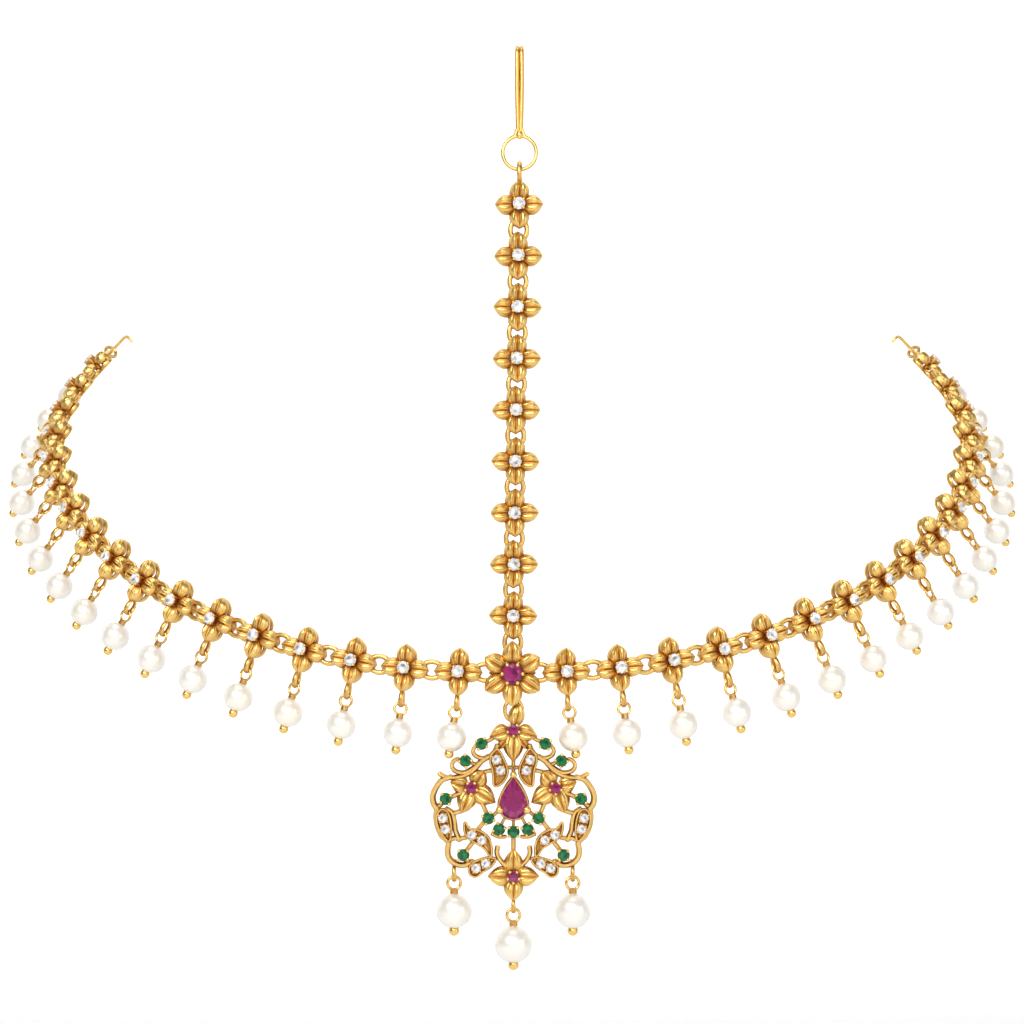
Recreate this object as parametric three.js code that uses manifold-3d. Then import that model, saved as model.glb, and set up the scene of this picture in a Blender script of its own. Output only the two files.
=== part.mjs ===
// A maang tikka with side strands: a parting chain on a hair hook, a six-petal centre flower,
// two strands of flower links with pearl drops, and a pierced pendant that swings under the flower.
// Millimetres, +Z up, seen from the front along +Y. The origin is the top of the hair hook.
import * as THREE from 'three';
import { mergeVertices } from 'three/addons/utils/BufferGeometryUtils.js';
import Module from 'manifold-3d';

const wasm = await Module();
wasm.setup();

// Driving sizes
const clearance = 0.3;
const weld = 0.04;
const ring = { halfLength: 1.5, halfWidth: 1.12, wire: 0.34, sides: 10 };
const petal = { reach: 3.4, depthBehind: 1.2, edge: 0.75, crest: 1.5, tip: 0.6 };
const loop = { radius: 0.75, wire: 0.22 };
const chain = { links: 9, pitch: 7.185, lean: 1.0, lastGap: 8.04 };
const strand = { links: 17, pitch: 7.54, tilt: 34, roll: 40.5, firstDropLean: 6 };
const hook = { wire: 0.33, drop: 12.6, back: 2.6, tail: 10.5, ringRadius: 2.35, ringWire: 0.27 };
const bail = { halfWidth: 1.0, halfHeight: 1.35, wire: 0.28, below: 0.45 };
const centre = { reach: 4.5, edge: 1.45, crest: 2.1, underside: 0.7, ruby: 1.5, seat: 2.1, table: 2.9, stem: 1.6 };
const lug = { radius: 0.95, wire: 0.25 };
const bead = { radius: 2.1, ball: 0.7, neck: 0.38, hang: 5.0, sides: 10, bands: 4 };
const eye = { radius: 0.75, wire: 0.2 };
const pendantRing = { radius: 1.5, wire: 0.28, axisBelow: 3.7, shift: 0.15 };
const endHook = { eye: 1.0, wire: 0.3, shank: 4.2, bend: 0.9 };

// The strand's route: headings chosen at equal shares of its length, in degrees in its tilted plane
const strandHeadings = [0, 24, 48, 76, 109];

const gold = { color: 0xc8922f, roughness: 0.38, metalness: 1 };
const pearl = { color: 0xf0e8d4, roughness: 0.25, metalness: 0 };
const ruby = { color: 0x9c1440, roughness: 0.1, metalness: 0 };

const radians = THREE.MathUtils.degToRad;
const jewel = new THREE.Group();

// Turns a closed geometry into a solid that can be joined and cut
function solid(geometry) {
  const bare = geometry.index ? geometry.toNonIndexed() : geometry.clone();
  bare.deleteAttribute('normal');
  bare.deleteAttribute('uv');
  const merged = mergeVertices(bare, 1e-4);
  const vertProperties = Float32Array.from(merged.attributes.position.array);
  const triVerts = Uint32Array.from(merged.index.array);
  return new wasm.Manifold(new wasm.Mesh({ numProp: 3, vertProperties, triVerts }));
}

function join(geometries) {
  let whole = solid(geometries[0]);
  for (const geometry of geometries.slice(1)) {
    whole = whole.add(solid(geometry));
  }
  return whole.simplify(weld);
}

function geometryOf(whole) {
  const mesh = whole.getMesh();
  const geometry = new THREE.BufferGeometry();
  geometry.setAttribute('position', new THREE.BufferAttribute(Float32Array.from(mesh.vertProperties), 3));
  geometry.setIndex(new THREE.BufferAttribute(Uint32Array.from(mesh.triVerts), 1));
  geometry.computeVertexNormals();
  return geometry;
}

function addSolid(name, whole, finish) {
  const piece = new THREE.Mesh(geometryOf(whole), new THREE.MeshStandardMaterial(finish));
  piece.name = name;
  jewel.add(piece);
}

function addPiece(name, geometries, finish) {
  addSolid(name, join(geometries), finish);
}

// A geometry from points and the three corners of each face
function faceted(points, faces) {
  const geometry = new THREE.BufferGeometry();
  geometry.setAttribute('position', new THREE.Float32BufferAttribute(points.flat(), 3));
  geometry.setIndex(faces.flat());
  return geometry;
}

// A wire bent round a flat outline and closed on itself, in the XY plane
function closedWire(outline, radius, sides) {
  const points = [];
  const faces = [];
  const count = outline.length;
  outline.forEach(([x, y], i) => {
    const [nextX, nextY] = outline[(i + 1) % count];
    const [lastX, lastY] = outline[(i + count - 1) % count];
    const along = new THREE.Vector2(nextX - lastX, nextY - lastY).normalize();
    for (let side = 0; side < sides; side += 1) {
      const angle = (2 * Math.PI * side) / sides;
      const out = radius * Math.cos(angle);
      points.push([x + along.y * out, y - along.x * out, radius * Math.sin(angle)]);
      const here = i * sides + side;
      const beside = i * sides + ((side + 1) % sides);
      const ahead = ((i + 1) % count) * sides + side;
      const across = ((i + 1) % count) * sides + ((side + 1) % sides);
      faces.push([here, ahead, across], [here, across, beside]);
    }
  });
  return faceted(points, faces);
}

function oval(halfLength, halfWidth, count) {
  return Array.from({ length: count }, (unused, i) => {
    const angle = (2 * Math.PI * (i + 0.5)) / count;
    return [halfLength * Math.cos(angle), halfWidth * Math.sin(angle)];
  });
}

// An open wire along a smooth line through chosen points
function wire(points, radius, sides, steps) {
  const section = new THREE.Shape(oval(radius, radius, sides).map(([x, y]) => new THREE.Vector2(x, y)));
  const stations = points.map((point) => new THREE.Vector3(...point));
  const path = stations.length === 2 ? new THREE.LineCurve3(...stations) : new THREE.CatmullRomCurve3(stations);
  return new THREE.ExtrudeGeometry(section, { steps, extrudePath: path });
}

// A flower of pointed petals with a raised crest on each, its face towards +Z and its walls closing in behind.
// Where a stone is given, an eight-sided stone with a flat table stands in the middle.
function flower(reaches, turn, form, stone) {
  const count = reaches.length;
  const step = (2 * Math.PI) / count;
  const outer = [];
  const crests = [];
  reaches.forEach((reach, i) => {
    const middle = turn + i * step;
    const at = (radius, angle, height) => [radius * Math.cos(angle), radius * Math.sin(angle), height];
    outer.push(at(reach * form.waist, middle - step / 2, form.edge * form.waistDrop));
    outer.push(at(reach * form.shoulder, middle - step * form.spread, form.edge));
    outer.push(at(reach, middle, form.tip));
    outer.push(at(reach * form.shoulder, middle + step * form.spread, form.edge));
    crests.push(at(reach * form.crestAt, middle, form.crest));
  });
  const rim = outer.length;
  const behind = outer.filter((unused, i) => i % 2 === 0);
  const points = [
    ...outer,
    ...crests,
    ...behind.map(([x, y]) => [x * form.closeIn, y * form.closeIn, form.back]),
    [0, 0, form.back],
  ];
  const backStart = rim + count;
  const backMiddle = points.length - 1;
  const faces = [];
  for (let i = 0; i < count; i += 1) {
    const [waist, before, tip, after, nextWaist] = [0, 1, 2, 3, 4].map((k) => (4 * i + k) % rim);
    const [backWaist, backTip, backNext] = [0, 1, 2].map((k) => backStart + ((2 * i + k) % (2 * count)));
    faces.push([backWaist, before, waist], [backWaist, tip, before], [backWaist, backTip, tip]);
    faces.push([backTip, after, tip], [backTip, backNext, after], [backNext, nextWaist, after]);
    faces.push([backMiddle, backTip, backWaist], [backMiddle, backNext, backTip]);
  }
  const hubStart = points.length;
  const hubCount = stone ? 2 * count : 1;
  if (stone) {
    [[stone.radius, stone.seat], [stone.radius * 0.6, stone.table]].forEach(([radius, height]) => {
      for (let i = 0; i < hubCount; i += 1) {
        const angle = turn + ((i - 1) * step) / 2;
        points.push([radius * Math.cos(angle), radius * Math.sin(angle), height]);
      }
    });
    for (let i = 0; i < hubCount; i += 1) {
      const next = (i + 1) % hubCount;
      const [low, lowNext, high, highNext] = [i, next, hubCount + i, hubCount + next].map((k) => hubStart + k);
      faces.push([low, lowNext, highNext], [low, highNext, high]);
      if (i > 0 && i < hubCount - 1) {
        faces.push([hubStart + hubCount, high, highNext]);
      }
    }
  } else {
    points.push([0, 0, form.edge]);
  }
  for (let i = 0; i < count; i += 1) {
    const [waist, before, tip, after] = [0, 1, 2, 3].map((k) => 4 * i + k);
    const nextWaist = (4 * i + 4) % rim;
    const crest = rim + i;
    const middle = hubStart + (stone ? 2 * i + 1 : 0);
    const near = hubStart + (stone ? 2 * i : 0);
    const far = hubStart + (stone ? (2 * i + 2) % hubCount : 0);
    faces.push([crest, near, waist], [crest, waist, before], [crest, before, tip]);
    faces.push([crest, tip, after], [crest, after, nextWaist], [crest, nextWaist, far]);
    if (stone) {
      faces.push([crest, middle, near], [crest, far, middle]);
    }
  }
  return faceted(points, faces);
}

// An eight-sided stone in a plain collet, its table towards +Z
function stud(radius, back, girdle, table) {
  const profile = [[0, back], [radius, back], [radius, girdle], [radius * 0.6, table], [0, table]];
  const turned = new THREE.LatheGeometry(profile.map(([x, y]) => new THREE.Vector2(x, y)), 8);
  return turned.rotateX(Math.PI / 2);
}

// A place on the jewel: local X runs along the piece, local Y up, local Z out of its face
function frame(position, right, up) {
  const out = new THREE.Vector3().crossVectors(right, up);
  return new THREE.Matrix4().makeBasis(right, up, out).setPosition(position);
}

const X = new THREE.Vector3(1, 0, 0);
const Z = new THREE.Vector3(0, 0, 1);
const at = (x, y, z) => new THREE.Matrix4().makeTranslation(x, y, z);
const place = (geometry, ...matrices) => {
  const moved = geometry.clone();
  matrices.forEach((matrix) => moved.applyMatrix4(matrix));
  return moved;
};
// A small cast loop whose hole looks along local X
const castLoop = (radius, thickness) => closedWire(oval(radius, radius, 8), thickness, 4).rotateY(Math.PI / 2);
const ringLink = (halfLength, halfWidth) => closedWire(oval(halfLength, halfWidth, ring.sides), ring.wire, 5);

const linkForm = {
  waist: 0.49, waistDrop: 0.7, shoulder: 0.74, spread: 0.35, crestAt: 0.62, closeIn: 0.9,
  edge: petal.edge, crest: petal.crest, tip: petal.tip, back: -petal.depthBehind,
};
const linkFlower = () => flower(Array(4).fill(petal.reach), 0, linkForm);

// Heights down the parting chain, from the hook's top at 0
const hookRingZ = -hook.drop - hook.ringRadius - hook.ringWire;
const bailZ = hookRingZ - hook.ringRadius - bail.below;
const firstLinkZ = bailZ - bail.halfHeight - petal.reach + bail.wire;
const lastLinkZ = firstLinkZ - (chain.links - 1) * chain.pitch;
const flowerZ = lastLinkZ - chain.lastGap;
const leanAt = (z) => (-chain.lean * (z - bailZ)) / (flowerZ - bailZ);
const flowerX = leanAt(flowerZ);

// Hair hook: a doubled wire bent over at the top, with a ring soldered under it
function hairHook() {
  const bend = hook.back / 2;
  const top = -bend - hook.wire;
  const overTop = [0, 45, 90, 135, 180].map(radians);
  const path = new THREE.CatmullRomCurve3([
    [0, 0, -hook.drop - hook.wire], [0, 0, -hook.drop / 2],
    ...overTop.map((angle) => [0, bend - bend * Math.cos(angle), top + bend * Math.sin(angle)]),
    [0, hook.back, -hook.tail / 2], [0, hook.back, -hook.tail],
  ].map((point) => new THREE.Vector3(...point)));
  const lobes = [[0, 2], [1, 1], [0.45, 0], [1, -1], [0, -2], [-1, -1], [-0.45, 0], [-1, 1]];
  const section = new THREE.Shape(lobes.map(([x, y]) => new THREE.Vector2(x * hook.wire, y * hook.wire)));
  const round = closedWire(oval(hook.ringRadius, hook.ringRadius, 12), hook.ringWire, 5);
  return [
    new THREE.ExtrudeGeometry(section, { steps: 12, extrudePath: path }),
    place(round, frame(new THREE.Vector3(0, 0, hookRingZ), X, Z)),
  ];
}

// Parting chain: flower links standing on end, with a ring behind each pair of petal tips
function partingChain() {
  const pieces = [];
  const faceFront = (z) => frame(new THREE.Vector3(leanAt(z), 0, z), X, Z);
  const bailLoop = closedWire(oval(bail.halfWidth, bail.halfHeight, 8), bail.wire, 5).rotateY(Math.PI / 2);
  pieces.push(place(bailLoop, faceFront(bailZ)));
  for (let i = 0; i < chain.links; i += 1) {
    const z = firstLinkZ - i * chain.pitch;
    pieces.push(place(linkFlower(), faceFront(z)));
    const gap = i < chain.links - 1 ? chain.pitch : chain.pitch + clearance;
    pieces.push(place(ringLink(ring.halfLength, ring.halfWidth).rotateZ(Math.PI / 2), faceFront(z - gap / 2)));
  }
  return pieces;
}

// The flat ends of a ring link lie this far from its middle
const ringTip = ring.halfLength * Math.cos(Math.PI / ring.sides);
const chainRingEnd = flowerZ - (lastLinkZ - (chain.pitch + clearance) / 2 - ringTip);

// Drops hang from a small loop under each link's lower petal
const loopBelow = petal.reach + loop.radius - loop.wire / 2;

// Places along a strand: its links at even steps on the turning route, each rolled to lie on the head
function strandPlaces(side) {
  const tilt = radians(strand.tilt);
  const roll = radians(strand.roll);
  const planeUp = new THREE.Vector3(0, -Math.sin(tilt), Math.cos(tilt));
  const stations = strandHeadings.map((heading, i) => new THREE.Vector2(i / (strandHeadings.length - 1), heading));
  const headings = new THREE.SplineCurve(stations);
  const stepAt = (share) => {
    const heading = radians(headings.getPoint(Math.min(share, 1)).y);
    const depth = Math.sin(heading);
    return new THREE.Vector3(side * Math.cos(heading), depth * Math.cos(tilt), depth * Math.sin(tilt));
  };
  const places = [];
  const here = new THREE.Vector3(flowerX, 0, flowerZ);
  for (let i = 1; i <= strand.links; i += 1) {
    const step = stepAt((i - 0.5) / strand.links);
    const next = stepAt((i + 0.5) / strand.links);
    here.addScaledVector(step, strand.pitch);
    const along = step.clone().add(next).normalize();
    const right = along.clone().multiplyScalar(side);
    const outward = new THREE.Vector3().crossVectors(right, planeUp).normalize();
    const up = planeUp.clone().multiplyScalar(Math.cos(roll)).addScaledVector(outward, -Math.sin(roll));
    places.push({ link: frame(here.clone(), right, up), step, next, up, right, at: here.clone() });
  }
  return places;
}

function strandPieces(places, side) {
  const pieces = [];
  places.forEach((spot, i) => {
    pieces.push(place(linkFlower(), spot.link));
    const backward = spot.step.clone().multiplyScalar(side);
    const last = i === 0 ? spot.up : places[i - 1].up;
    pieces.push(ringBetween(spot.at.clone().addScaledVector(spot.step, -strand.pitch / 2), backward, spot.up, last));
  });
  const end = places[places.length - 1];
  const beyond = end.at.clone().addScaledVector(end.next, strand.pitch / 2);
  pieces.push(ringBetween(beyond, end.next.clone().multiplyScalar(side), end.up, end.up));
  return pieces;
}

function ringBetween(position, right, upHere, upBefore) {
  const up = upHere.clone().add(upBefore).normalize();
  up.addScaledVector(right, -up.dot(right)).normalize();
  return place(ringLink(ring.halfLength, ring.halfWidth), frame(position, right, up));
}

// A round solid about local Y, from stations of radius, height and the number of sides there
function turned(stations) {
  const points = [];
  const faces = [];
  const starts = stations.map(({ radius, y, sides }) => {
    const start = points.length;
    for (let i = 0; i < sides; i += 1) {
      const angle = (2 * Math.PI * i) / sides;
      points.push([radius * Math.cos(angle), y, radius * Math.sin(angle)]);
    }
    return start;
  });
  for (let k = 0; k < stations.length - 1; k += 1) {
    const [low, high] = [stations[k].sides, stations[k + 1].sides];
    const lowAt = (i) => starts[k] + (i % low);
    const highAt = (j) => starts[k + 1] + (j % high);
    let [i, j] = [0, 0];
    const [lowSteps, highSteps] = [low > 1 ? low : 0, high > 1 ? high : 0];
    while (i < lowSteps || j < highSteps) {
      const lowNext = i < lowSteps && (j >= highSteps || (i + 1) / low <= (j + 1) / high);
      if (lowNext) {
        faces.push([lowAt(i), highAt(j), lowAt(i + 1)]);
        i += 1;
      } else {
        faces.push([lowAt(i), highAt(j), highAt(j + 1)]);
        j += 1;
      }
    }
  }
  return faceted(points, faces);
}

// Pearl drop down local Y from the middle of its loop: the balled end, the pearl and its neck, up to a given top
function pearlDrop(radius, ball, top) {
  const middle = -bead.hang - (radius - bead.radius);
  const ballMiddle = middle - radius - ball * 0.6;
  const band = Math.PI / bead.bands;
  const stations = [{ radius: 0, y: ballMiddle - ball, sides: 1 }, { radius: ball, y: ballMiddle, sides: 6 }];
  for (let i = 1; i < bead.bands; i += 1) {
    stations.push({ radius: radius * Math.sin(i * band), y: middle - radius * Math.cos(i * band), sides: bead.sides });
  }
  stations.push({ radius: bead.neck, y: middle + radius, sides: 4 });
  stations.push({ radius: bead.neck, y: top, sides: 4 });
  stations.push({ radius: 0, y: top, sides: 1 });
  return turned(stations);
}

// The larger drops of the pendant end in a wire eye
function eyedDrop(radius, ball) {
  const neckTop = -2 * eye.radius;
  return [
    pearlDrop(radius, ball, neckTop + eye.wire / 2),
    place(closedWire(oval(eye.radius, eye.radius, 8), eye.wire, 5), at(0, -eye.radius, 0)),
  ];
}

function placeAll(geometries, ...matrices) {
  return geometries.map((geometry) => place(geometry, ...matrices));
}

// End hook: an eye round the strand's last ring, and a shank bent over at its tip
function endHookPieces(end, side) {
  const start = end.at.clone().addScaledVector(end.next, strand.pitch / 2 + ringTip);
  const right = end.next.clone().multiplyScalar(side);
  const up = end.up.clone().addScaledVector(right, -end.up.dot(right)).normalize();
  const spot = frame(start, right, up);
  const tip = endHook.eye + endHook.shank;
  const path = [
    [endHook.eye * 0.9, 0, 0], [endHook.eye + endHook.shank * 0.5, 0, 0], [tip, 0, 0],
    [tip + endHook.bend * 0.7, 0, -endHook.bend * 0.4], [tip + endHook.bend * 0.6, 0, -endHook.bend * 1.7],
  ].map(([x, y, z]) => [side * x, y, z]);
  const round = closedWire(oval(endHook.eye, endHook.eye, 10), endHook.wire, 5).rotateX(Math.PI / 2);
  return placeAll([round, wire(path, endHook.wire, 5, 6)], spot);
}

// Centre flower: six petals round a ruby, with a cast lug behind for each strand, the chain and the pendant
function centreFlower() {
  const form = {
    waist: 0.46, waistDrop: 0.8, shoulder: 0.72, spread: 0.3, crestAt: 0.64, closeIn: 0.95,
    edge: centre.edge, crest: centre.crest, tip: centre.edge * 0.9, back: centre.underside,
  };
  const stone = { radius: centre.ruby, seat: centre.seat, table: centre.table };
  const petals = flower(Array(6).fill(centre.reach), Math.PI / 2, form, stone);
  const strandRingEnd = strand.pitch / 2 - ringTip;
  const across = castLoop(lug.radius, lug.wire).rotateZ(Math.PI / 2);
  const spot = frame(new THREE.Vector3(flowerX, 0, flowerZ), X, Z);
  const back = lug.radius + lug.wire;
  return placeAll([
    petals,
    place(across, at(-strandRingEnd, 0, 0)),
    place(across, at(strandRingEnd, 0, 0)),
    place(castLoop(lug.radius, lug.wire), at(0, -chainRingEnd, 0)),
    place(castLoop(lug.radius, lug.wire), at(0, -pendantRing.axisBelow, 0)),
    stud(lug.wire * 2, -back, centre.underside, centre.stem),
  ], spot);
}

// Pendant: its own places are measured from the swing axis, X right and Y up, and mirrored left and right
const pearStone = { width: 4.0, height: 5.9, middle: -12.8, girdle: 1.2, table: 2.1, culet: -0.2 };
const rod = 0.34;
const frontBack = -0.5;
const leafDepth = 1.3;
const smallStone = { radius: 0.88, back: frontBack, girdle: 1.0, table: 1.5 };
const emeraldPairs = [[4.45, -5.2], [6.7, -7.6], [9.45, -12.9], [3.5, -15.6], [2.0, -17.15], [7.0, -20.75]];
const vines = [
  [[1.2, -4.6], [2.9, -5.6], [4.5, -6.2], [6.2, -8.4], [8.5, -9.1], [10.1, -9.6]],
  [[8.4, -9.1], [10.3, -10.3], [11.3, -12.8], [10.7, -14.4], [10.5, -16.8], [9.2, -18.8], [9.0, -20.8], [7.0, -21.5]],
  [[2.6, -13.2], [3.5, -15.4], [2.1, -17.0], [0, -17.5]],
  [[0, -20.4], [1.3, -19.6], [2.2, -18.9], [2.9, -19.6], [2.4, -20.3]],
];
const stems = [
  [[9.45, -12.9], [11.2, -12.9]],
  [[9.45, -12.9], [8.0, -11.9]],
  [[7.0, -20.75], [6.2, -22.8]],
  [[3.5, -15.6], [5.4, -13.6]],
  [[8.25, -22.55], [7.3, -21.3]],
  [[5.4, -17.6], [3.6, -15.8]],
];
const leaves = [
  { from: [2.9, -5.2], to: [1.2, -10.2], width: 1.7 },
  { from: [10.5, -14.0], to: [8.6, -18.9], width: 1.7 },
  { from: [6.9, -16.2], to: [3.2, -20.4], width: 1.8 },
  { from: [1.2, -21.5], to: [6.6, -23.0], width: 1.7 },
];
const pendantFlowers = {
  top: { place: [0, -3.3], reaches: [3.2, 1.3, 3.2, 4.6], turn: -8 },
  side: { place: [5.9, -11.4], reaches: [3.0, 3.4, 3.2, 3.4], turn: -28 },
  bottom: { place: [0, -23.8], reaches: [3.6, 3.9, 3.6, 3.5], turn: 0 },
};
const middleEmerald = [0, -17.5];
const middleRods = [[[0, -16.1], [0, -20.6]], [[0, -7.3], [0, -9.6]]];
// The tops of the loops are soldered to the vine and to the lowest petal, and the loops hang from there
const loopTops = { side: [8.3, -22.65], bottom: [0, -27.15] };
const loopUnder = ([x, y]) => [x, y - loop.radius];
const pendantLoops = { side: loopUnder(loopTops.side), bottom: loopUnder(loopTops.bottom) };
const pendantBeads = { side: 2.5, bottom: 2.65, ball: 0.76 };

function pearOutline(width, height, count) {
  const half = width / 2;
  const low = Array.from({ length: count }, (unused, i) => {
    const angle = Math.PI + (Math.PI * i) / (count - 1);
    return [half * Math.cos(angle), half * Math.sin(angle) - height / 2 + half];
  });
  const rise = height - half;
  const high = Array.from({ length: count - 2 }, (unused, i) => {
    const share = (i + 1) / (count - 1);
    return [half * (1 - share ** 1.6), half - height / 2 + rise * share];
  });
  const mirrored = high.map(([x, y]) => [-x, y]).reverse();
  return [...low, ...high, [0, height / 2], ...mirrored];
}

// A cut stone: girdle, table and a culet behind
function gem(outline, stone) {
  const count = outline.length;
  const points = [
    ...outline.map(([x, y]) => [x, y, stone.girdle]),
    ...outline.map(([x, y]) => [x * 0.6, y * 0.6, stone.table]),
    [0, 0, stone.table],
    [0, 0, stone.culet],
  ];
  const faces = [];
  for (let i = 0; i < count; i += 1) {
    const next = (i + 1) % count;
    faces.push([i, next, count + next], [i, count + next, count + i]);
    faces.push([count + i, count + next, 2 * count], [next, i, 2 * count + 1]);
  }
  return faceted(points, faces);
}

function leafPlate(from, to, width) {
  const [x0, y0] = from;
  const [x1, y1] = to;
  const length = Math.hypot(x1 - x0, y1 - y0);
  const outline = new THREE.Shape([
    [0, 0], [length * 0.3, -width / 2], [length * 0.7, -width / 2], [length, 0], [length * 0.7, width / 2],
    [length * 0.3, width / 2],
  ].map(([x, y]) => new THREE.Vector2(x, y)));
  const plate = new THREE.ExtrudeGeometry(outline, { depth: leafDepth, bevelEnabled: false });
  return place(plate.rotateZ(Math.atan2(y1 - y0, x1 - x0)), at(x0, y0, frontBack));
}

function mirrored(geometry) {
  const turned = geometry.index ? geometry.toNonIndexed() : geometry.clone();
  const position = turned.attributes.position;
  for (let i = 0; i < position.count; i += 3) {
    const corners = [i, i + 1, i + 2].map((k) => new THREE.Vector3().fromBufferAttribute(position, k));
    [corners[0], corners[2], corners[1]].forEach((corner, k) => position.setXYZ(i + k, -corner.x, corner.y, corner.z));
  }
  return turned;
}

// The frame's own height is measured from the top flower, which hangs this far under the ring's axis
const pendantTop = 0.92;

function pendantPieces() {
  const flat = (points) => points.map(([x, y]) => [x, y, 0]);
  const setting = () => stud(smallStone.radius, smallStone.back, smallStone.girdle, smallStone.table);
  const form = {
    waist: 0.42, waistDrop: 0.8, shoulder: 0.72, spread: 0.3, crestAt: 0.62, closeIn: 0.92,
    edge: 0.6, crest: 1.15, tip: 0.45, back: frontBack,
  };
  const rubyStone = { radius: smallStone.radius, seat: form.crest, table: smallStone.table + clearance };
  const jewelled = ({ place: [x, y], reaches, turn }) => (
    place(flower(reaches, radians(turn), form, rubyStone), at(x, y, 0))
  );
  const oneSide = [
    ...emeraldPairs.map(([x, y]) => place(setting(), at(x, y, 0))),
    ...vines.map((points) => wire(flat(points), rod, 4, points.length + 1)),
    ...stems.map((points) => wire(flat(points), rod, 4, 1)),
    ...leaves.map(({ from, to, width }) => leafPlate(from, to, width)),
    jewelled(pendantFlowers.side),
    place(castLoop(loop.radius, loop.wire), at(...pendantLoops.side, 0)),
  ];
  const around = 2 * clearance + 2 * rod;
  const collet = pearOutline(pearStone.width + around, pearStone.height + around + rod, 6);
  const frameParts = [
    ...oneSide,
    ...oneSide.map(mirrored),
    place(closedWire(collet, rod, 5), at(0, pearStone.middle, 0)),
    jewelled(pendantFlowers.top),
    jewelled(pendantFlowers.bottom),
    place(setting(), at(...middleEmerald, 0)),
    ...middleRods.map((points) => wire(flat(points), rod, 4, 1)),
    place(castLoop(loop.radius, loop.wire), at(...pendantLoops.bottom, 0)),
  ];
  return [
    ...placeAll(frameParts, at(0, -pendantTop, 0)),
    place(castLoop(lug.radius, lug.wire), at(0, -2 * pendantRing.radius, 0)),
  ];
}

// Assembly
addPiece('hair_hook', hairHook(), gold);
addPiece('parting_chain', partingChain(), gold);
addPiece('centre_flower', centreFlower(), gold);

const neckTop = loopBelow - petal.reach - clearance;
for (const [side, name] of [[-1, 'left'], [1, 'right']]) {
  const places = strandPlaces(side);
  addPiece(`strand_${name}`, strandPieces(places, side), gold);
  places.forEach((spot, i) => {
    const number = String(i + 1).padStart(2, '0');
    const lean = new THREE.Matrix4().makeRotationZ(i === 0 ? side * radians(strand.firstDropLean) : 0);
    const drop = place(pearlDrop(bead.radius, bead.ball, neckTop), lean, at(0, -loopBelow, 0), spot.link);
    addPiece(`pearl_drop_${name}_${number}`, [drop], pearl);
  });
  addPiece(`end_hook_${name}`, endHookPieces(places[places.length - 1], side), gold);
}

const swing = frame(
  new THREE.Vector3(flowerX + pendantRing.shift, 0, flowerZ - pendantRing.axisBelow), X, Z,
);
const hangRing = closedWire(oval(pendantRing.radius, pendantRing.radius, 12), pendantRing.wire, 5);
addPiece('pendant_ring', placeAll([hangRing], at(0, -pendantRing.radius, 0), swing), gold);
const frameSolid = join(placeAll(pendantPieces(), swing));
const ringRoom = closedWire(oval(pendantRing.radius, pendantRing.radius, 12), pendantRing.wire + clearance, 8);
const openFrame = frameSolid.subtract(solid(place(ringRoom, at(0, -pendantRing.radius, 0), swing)));
addSolid('pendant_frame', openFrame, gold);
const pear = gem(pearOutline(pearStone.width, pearStone.height, 6), pearStone);
addPiece('pear_ruby', placeAll([pear], at(0, pearStone.middle - pendantTop, 0), swing), ruby);
for (const [name, across, [x, y], radius] of [
  ['left', -1, pendantLoops.side, pendantBeads.side],
  ['right', 1, pendantLoops.side, pendantBeads.side],
  ['bottom', 1, pendantLoops.bottom, pendantBeads.bottom],
]) {
  const drop = placeAll(eyedDrop(radius, pendantBeads.ball), at(across * x, y - pendantTop, 0), swing);
  addPiece(`pendant_drop_${name}`, drop, pearl);
}

export default jewel;
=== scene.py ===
"""Dresses the maang tikka: flower links, pearl drops, jewelled pendant, hook and the stage it is seen on.

Shape functions work in millimetres, in the same frame as the CAD, and a piece is turned into metres once,
when it is made. Local X runs along a piece, local Y up and local Z out of its face.
"""

import math

import bmesh
import bpy
import numpy as np
from bpy.props import FloatProperty, FloatVectorProperty, IntProperty, PointerProperty
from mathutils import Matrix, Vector


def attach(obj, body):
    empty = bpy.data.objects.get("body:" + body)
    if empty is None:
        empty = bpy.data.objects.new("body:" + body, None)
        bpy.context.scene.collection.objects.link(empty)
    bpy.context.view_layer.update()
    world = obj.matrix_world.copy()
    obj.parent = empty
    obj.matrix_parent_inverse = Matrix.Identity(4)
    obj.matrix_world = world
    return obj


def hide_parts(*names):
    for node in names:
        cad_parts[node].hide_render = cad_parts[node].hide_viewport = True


bl_info = {
    "name": "Maang tikka",
    "version": (1, 0, 0),
    "blender": (4, 5, 0),
    "location": "3D View > Sidebar > Maang Tikka",
    "description": "Builds the visible pieces of a gold maang tikka with pearl side strands",
    "category": "Add Mesh",
}

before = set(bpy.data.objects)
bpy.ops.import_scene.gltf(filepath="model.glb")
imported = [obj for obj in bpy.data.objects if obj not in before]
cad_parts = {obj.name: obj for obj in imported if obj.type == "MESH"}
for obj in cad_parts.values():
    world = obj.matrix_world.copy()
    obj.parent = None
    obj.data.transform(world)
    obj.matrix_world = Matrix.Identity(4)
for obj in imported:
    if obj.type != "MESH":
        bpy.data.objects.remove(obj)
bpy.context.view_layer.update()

MM = 0.001
X_AXIS = np.array([1.0, 0.0, 0.0])
Y_AXIS = np.array([0.0, 1.0, 0.0])
Z_AXIS = np.array([0.0, 0.0, 1.0])

# Places shared with the CAD, in millimetres
HOOK_RING_Z = -15.22
BAIL_Z = -18.02
FIRST_LINK_Z = -22.49
FLOWER_X = -1.0
FLOWER_Z = -88.01
SWING = np.array([-0.85, 0.0, -91.71])
PENDANT_TOP = 0.92
# Degrees that a strand has turned backwards at even shares of its length
STRAND_HEADINGS = [0, 24, 48, 76, 109]
STRAND_TILT = math.radians(34)
STRAND_ROLL = math.radians(40.5)
FIRST_DROP_LEAN = math.radians(6)
# How far under a link's middle the point is that the first drop leans about
DROP_HANG = 4.04
SIDES = ((-1, "left"), (1, "right"))
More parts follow.
